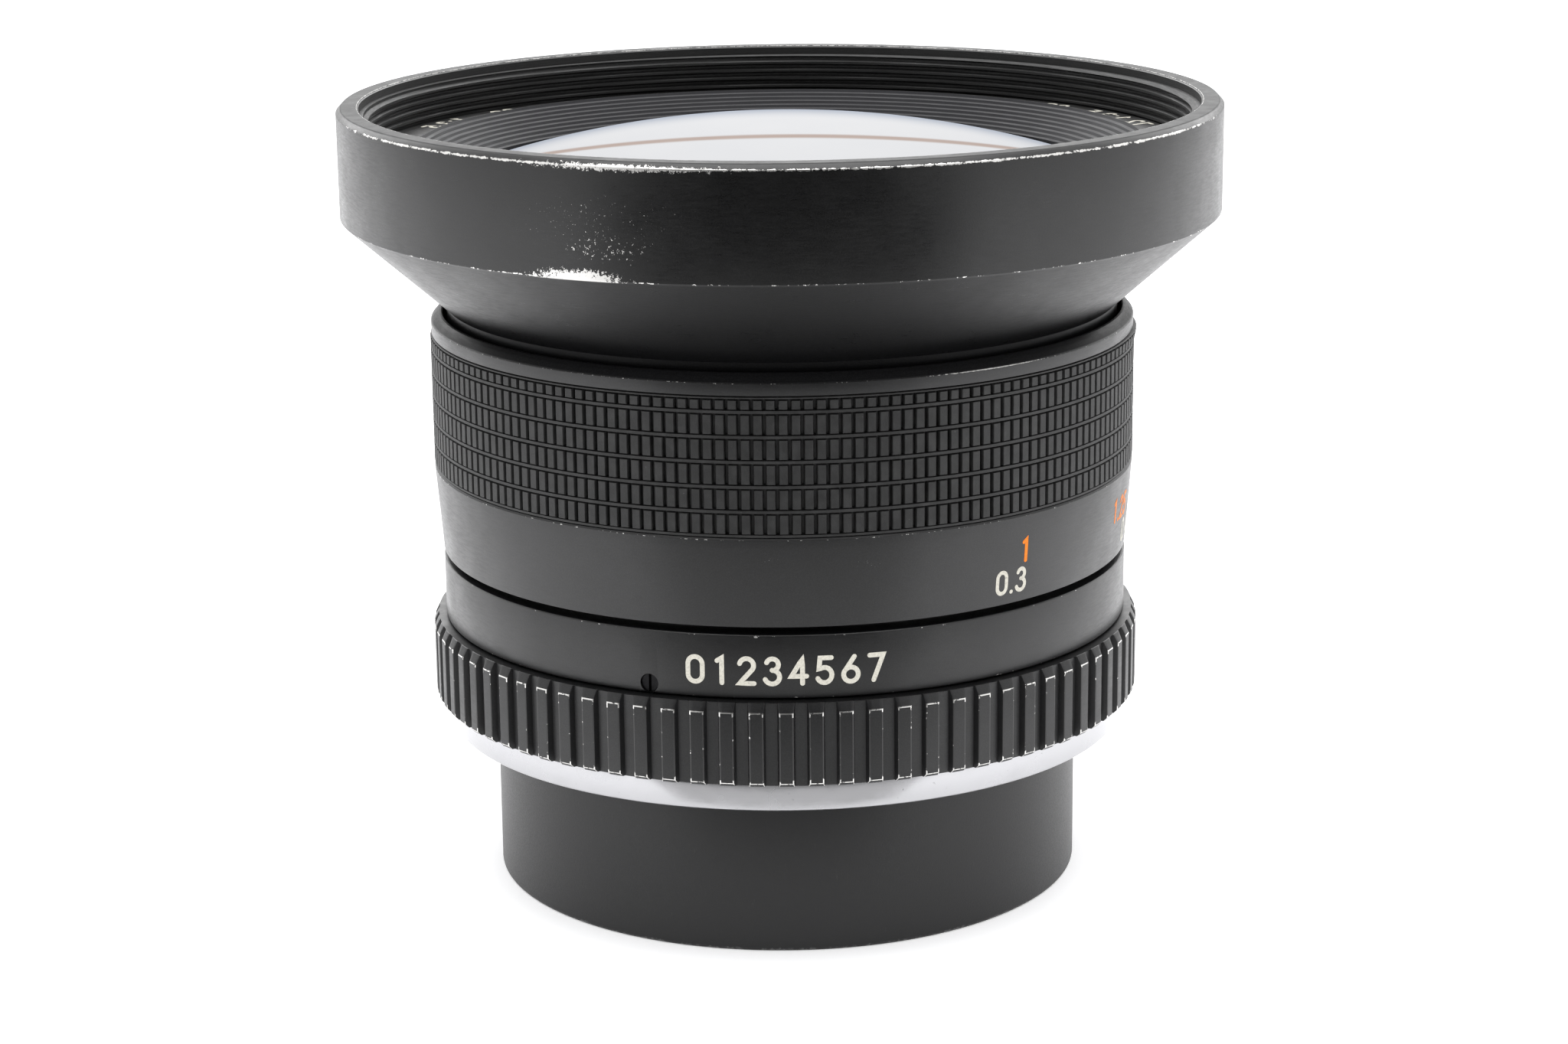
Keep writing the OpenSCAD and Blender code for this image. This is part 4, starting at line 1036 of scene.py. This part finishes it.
def make_aperture_ring():
    """Ribbed ring. Ribs stand every 4.5 degrees, apart from the plain part with the figures."""
    bore_r = 29.5
    period = 360 / RIB_COUNT
    floor_r = APERTURE_R - RIB_DEPTH
    pad_edge = math.degrees(0.54 / APERTURE_R)
    floor_edge = math.degrees(0.75 / APERTURE_R)
    bevel = math.degrees(0.05 / APERTURE_R)
    plain_from = BACK - APERTURE_TURN - 7
    plain_to = BACK + 8
    top_r = APERTURE_R - RIB_BEVEL_W
    shoulder_z = APERTURE_TOP_Z - RIB_BEVEL_H
    foot_z = APERTURE_Z + RIB_FOOT
    # Outline on a rib, and the same points in a valley
    rib = [(bore_r, APERTURE_Z), (APERTURE_R - RIB_FOOT, APERTURE_Z), (APERTURE_R - 0.03, foot_z - 0.04),
           (APERTURE_R, foot_z + 0.04), (APERTURE_R, shoulder_z - 0.06),
           (APERTURE_R - 0.03, shoulder_z + 0.05), (top_r, APERTURE_TOP_Z - 0.02),
           (top_r - 0.05, APERTURE_TOP_Z), (bore_r, APERTURE_TOP_Z)]
    valley = [(min(r, floor_r), z) for r, z in rib]
    valley[6] = (floor_r - 0.03, APERTURE_TOP_Z - 0.1)
    valley[7] = (top_r - 0.05, APERTURE_TOP_Z)

    def columns():
        """Directions round the ring: (angle at the rib's top, angle at the valley's floor, on a rib)."""
        for i in range(RIB_COUNT):
            middle = i * period
            next_valley = middle + period / 2
            plain_here = plain_from < next_valley < plain_to
            plain_before = plain_from < middle - period / 2 < plain_to
            if not plain_before:
                yield middle - floor_edge, middle - floor_edge, 0.0
                yield middle - pad_edge - bevel, middle - floor_edge, 0.93
                yield middle - pad_edge + bevel, middle - floor_edge + bevel, 1.0
            for k in (-1, 0, 1):
                yield middle + k * pad_edge * 0.5, middle + k * pad_edge * 0.6, 1.0
            if plain_here:
                for k in (1, 2, 3, 4):
                    angle = middle + pad_edge + k * (period - 2 * pad_edge) / 5
                    yield angle, angle, 1.0
            else:
                yield middle + pad_edge - bevel, middle + floor_edge - bevel, 1.0
                yield middle + pad_edge + bevel, middle + floor_edge, 0.93
                yield middle + floor_edge, middle + floor_edge, 0.0
                yield next_valley, next_valley, 0.0

    verts = []
    for top_angle, floor_angle, share in columns():
        for (rib_r, rib_z), (valley_r, valley_z) in zip(rib, valley):
            radius = valley_r + (rib_r - valley_r) * share
            z = valley_z + (rib_z - valley_z) * share
            deep = min(1, max(0, (APERTURE_R - rib_r) / RIB_DEPTH)) if share > 0 else 1
            verts.append(place(radius, top_angle + (floor_angle - top_angle) * deep, z))
    faces = skin(len(verts) // len(rib), len(rib))
    obj = mesh_object("aperture_ring_ribbed", verts, faces, sharp=20)
    notch_angles = [CLICK] + [CLICK - (FIRST_STOP + i) * STOP_TURN for i in range(len(STOPS) - 1)]
    notch_at = 28.95
    notches = [
        rod("notch", 0.9, place(notch_at, angle, CLICK_Z - 1.1), place(notch_at, angle, CLICK_Z + 1.1))
        for angle in notch_angles
    ]
    cut_from(obj, notches, sharp=20)
    finish_piece(obj, "aperture_control", "ribbed_anodised", "aperture_ring",
                 materials=["ribbed_anodised", "rib_edge_wear"])
    mark_rib_edges(obj)


def mark_rib_edges(obj):
    """Puts the worn finish on the narrow faces along the ribs' edges."""
    for face in obj.data.polygons:
        lengths = [
            (obj.data.vertices[a].co - obj.data.vertices[b].co).length / MM for a, b in face.edge_keys
        ]
        centre = face.center / MM
        radius = math.hypot(centre.x, centre.y)
        below_chamfer = centre.z < APERTURE_TOP_Z - RIB_BEVEL_H + 0.1
        if radius > APERTURE_R - 0.25 and min(lengths) < 0.13 and below_chamfer:
            face.material_index = 1


def make_stop_figures():
    def ring_radius(z):
        return APERTURE_R

    entries = []
    for i, text in enumerate(STOPS):
        turn = 0 if i == 0 else (FIRST_STOP + i - 1) * STOP_TURN
        entries.append((text, 1.9, 0.28, on_barrel(ring_radius, BACK - turn, APERTURE_TOP_Z - 2.6), 0.2))
    figures("aperture_figures", entries, "aperture_control", "white_paint")


# ---- mount and cap

LUG_SPAN = 50
LUG_FROM = 20 + 90
LUG_COUNT = 3
LUG_H = 1.4


def sector(radius, bore, z, z_top, start, span, steps=24):
    """Vertices and faces of part of a tube."""
    verts, faces = [], []
    for k in range(steps + 1):
        angle = start + span * k / steps
        verts += [place(r, angle, h) for r, h in ((bore, z), (radius, z), (radius, z_top), (bore, z_top))]
    for k in range(steps):
        for i in range(4):
            n = (i + 1) % 4
            faces.append([4 * k + i, 4 * (k + 1) + i, 4 * (k + 1) + n, 4 * k + n])
    faces += [[0, 1, 2, 3], [4 * steps + i for i in (3, 2, 1, 0)]]
    return verts, faces


def with_lugs(outline, radius, bore, z):
    """Vertices and faces of a turned outline with three bayonet lugs."""
    starts = [LUG_FROM + i * 360 / LUG_COUNT for i in range(LUG_COUNT)]
    lugs = [sector(radius, bore, z, z + LUG_H, start, LUG_SPAN) for start in starts]
    return joined([turned(outline)] + lugs)


def make_mount_flange():
    throat_r = 21.8
    spigot_r = 23.4
    spigot_z = low("mount_flange")[2]
    flange_z = FLANGE_TOP_Z - 2.4
    lug_r = 24.9
    lug_z = spigot_z + 0.2
    outline = rounded([
        (throat_r, spigot_z, 0.2), (spigot_r, spigot_z, 0.15), (spigot_r, flange_z),
        (FLANGE_R, flange_z, 0.22), (FLANGE_R, FLANGE_TOP_Z, 0.18), (throat_r, FLANGE_TOP_Z),
    ])
    obj = mesh_object("mount_flange_turned", *with_lugs(outline, lug_r, spigot_r - 0.02, lug_z))
    # Radius, distance from the axis, direction, depth
    sizes = [(1.5, 28.2, 105 + i * 90, 1.2) for i in range(4)] + [(1.1, 27.6, 60, 1.5)]
    holes = [
        rod("hole", radius, place(at, angle, flange_z - 1), place(at, angle, flange_z + depth))
        for radius, at, angle, depth in sizes
    ]
    cut_from(obj, holes)
    finish_piece(obj, "barrel", "mount_chrome", "mount_flange")


def make_rear_cap():
    recess_r = 22.0
    recess_h = 0.5
    floor_h = 1.6
    bore_r = 25.2
    lug_r = 23.7
    lug_z = 11.75
    outline = rounded([
        (0, recess_h), (recess_r, recess_h, 0.2), (recess_r + recess_h, 0, 0.2), (CAP_R, 0, 0.3),
        (CAP_R, CAP_TOP_Z, 0.22), (bore_r, CAP_TOP_Z, 0.1), (bore_r, floor_h, 0.4), (0, floor_h),
    ], 4)
    obj = mesh_object("rear_cap_moulded", *with_lugs(outline, bore_r + 0.02, lug_r, lug_z))
    finish_piece(obj, "cap", "cap_plastic", "rear_cap")


# ---- hidden pieces

def finish_cad_nodes():
    """Every CAD node takes its slot's material, apart from the blackened grub screws."""
    for entry in frame["record"]["subparts"]:
        is_blackened = entry["node"] == "barrel_grub_screws"
        materials = frame["nodes"][entry["node"]].data.materials
        materials.clear()
        materials.append(M["blackened_steel" if is_blackened else entry["material_slot"]])


# ---- camera, light and floor

def make_camera():
    """Looks down at the lens from the serial number's side, as in a product photograph."""
    distance, height, aside = 298.4, 109.3, 0.03
    pitch, yaw, roll = math.radians(14.75), math.radians(-0.01), math.radians(-0.6)
    forward = Vector((math.sin(yaw) * math.cos(pitch), math.cos(yaw) * math.cos(pitch), -math.sin(pitch)))
    right = Vector((math.cos(yaw), -math.sin(yaw), 0))
    up = right.cross(forward)
    side = right * math.cos(roll) + up * math.sin(roll)
    top = up * math.cos(roll) - right * math.sin(roll)
    data = bpy.data.cameras.new("camera")
    data.lens = 78.98
    data.sensor_width = 36
    data.clip_start = 0.01
    camera = new_object("camera", data)
    camera.matrix_world = Matrix.Translation(Vector((aside, -distance, height)) * MM) @ Matrix(
        (side, top, -forward)
    ).transposed().to_4x4()
    bpy.context.scene.camera = camera


def panel(name, corners, color, strength, unseen=()):
    """A flat panel: a glowing one where strength is above 0. unseen names the rays that miss it."""
    mesh = bpy.data.meshes.new(name)
    mesh.from_pydata(corners, [], [list(range(len(corners)))])
    mesh.materials.append(Shader(name).surface(
        color, 0.9, Specular_IOR_Level=0.0, Emission_Color=grey(1.0), Emission_Strength=strength))
    obj = new_object(name, mesh)
    for ray in unseen:
        setattr(obj, "visible_" + ray, False)


def rectangle(centre, target, size):
    """Corners of a rectangle that faces a target."""
    turn = (Vector(target) - Vector(centre)).to_track_quat("Z", "Y").to_matrix()
    w, h = size[0] / 2, size[1] / 2
    corners = (-w, -h, 0), (w, -h, 0), (w, h, 0), (-w, h, 0)
    return [tuple(Vector(centre) + turn @ Vector(c)) for c in corners]


def wedge(near, far, height):
    """Corners of a floor patch in front of the lens that widens away from it."""
    apex, spread = -0.027, 1.07
    ends = (far, -1), (far, 1), (near, 1), (near, -1)
    return [((apex - y) * spread * side, y, height) for y, side in ends]


FLOOR_GLOW = 0.35
TABLE_FRONT_GLOW = 0.95
REAR_GLOW = 3.8


def make_studio():
    """White tent over a pale table, with the dark room beyond the table's front in the reflections."""
    world = bpy.data.worlds.new("tent")
    world.use_nodes = True
    inputs = world.node_tree.nodes["Background"].inputs
    inputs["Color"].default_value = grey(1.0)
    inputs["Strength"].default_value = 1.0
    bpy.context.scene.world = world
    black, white = (0.01, 0.01, 0.01, 1), (0.92, 0.92, 0.93, 1)
    only_shine = ("camera", "diffuse", "shadow", "transmission")
    panel("floor", rectangle((0, 0, 0), (0, 0, 1), (6, 6)), white, FLOOR_GLOW)
    panel("table_front", wedge(-0.05, -0.18, 0.001), black, TABLE_FRONT_GLOW, only_shine)
    panel("room_floor", wedge(-0.18, -1.2, 0.001), black, 0.0, only_shine)
    panel("room_front", rectangle((0, -1.0, 0.5), (0, 0, 0.5), (1.2, 1.1)), black, 0.0, only_shine)
    panel("rear_softbox", rectangle((0, 1.1, 0.85), (0, 0, 0.05), (2.4, 1.1)), black, REAR_GLOW,
          ("camera", "diffuse", "shadow"))
    data = bpy.data.lights.new("overhead", "AREA")
    data.size = 0.9
    data.energy = 9.0
    light = new_object("overhead", data)
    light.location = (0, 0.1, 0.9)
    light.rotation_euler = (-light.location).to_track_quat("-Z", "Y").to_euler()


make_front_barrel()
make_name_ring()
make_retaining_ring()
make_elements()
make_focus_ring()
make_grip()
make_distance_scale()
make_fixed_barrel()
make_barrel_figures()
make_aperture_ring()
make_stop_figures()
make_mount_flange()
make_rear_cap()
finish_cad_nodes()
make_camera()
make_studio()

bpy.context.scene.view_settings.view_transform = "Standard"
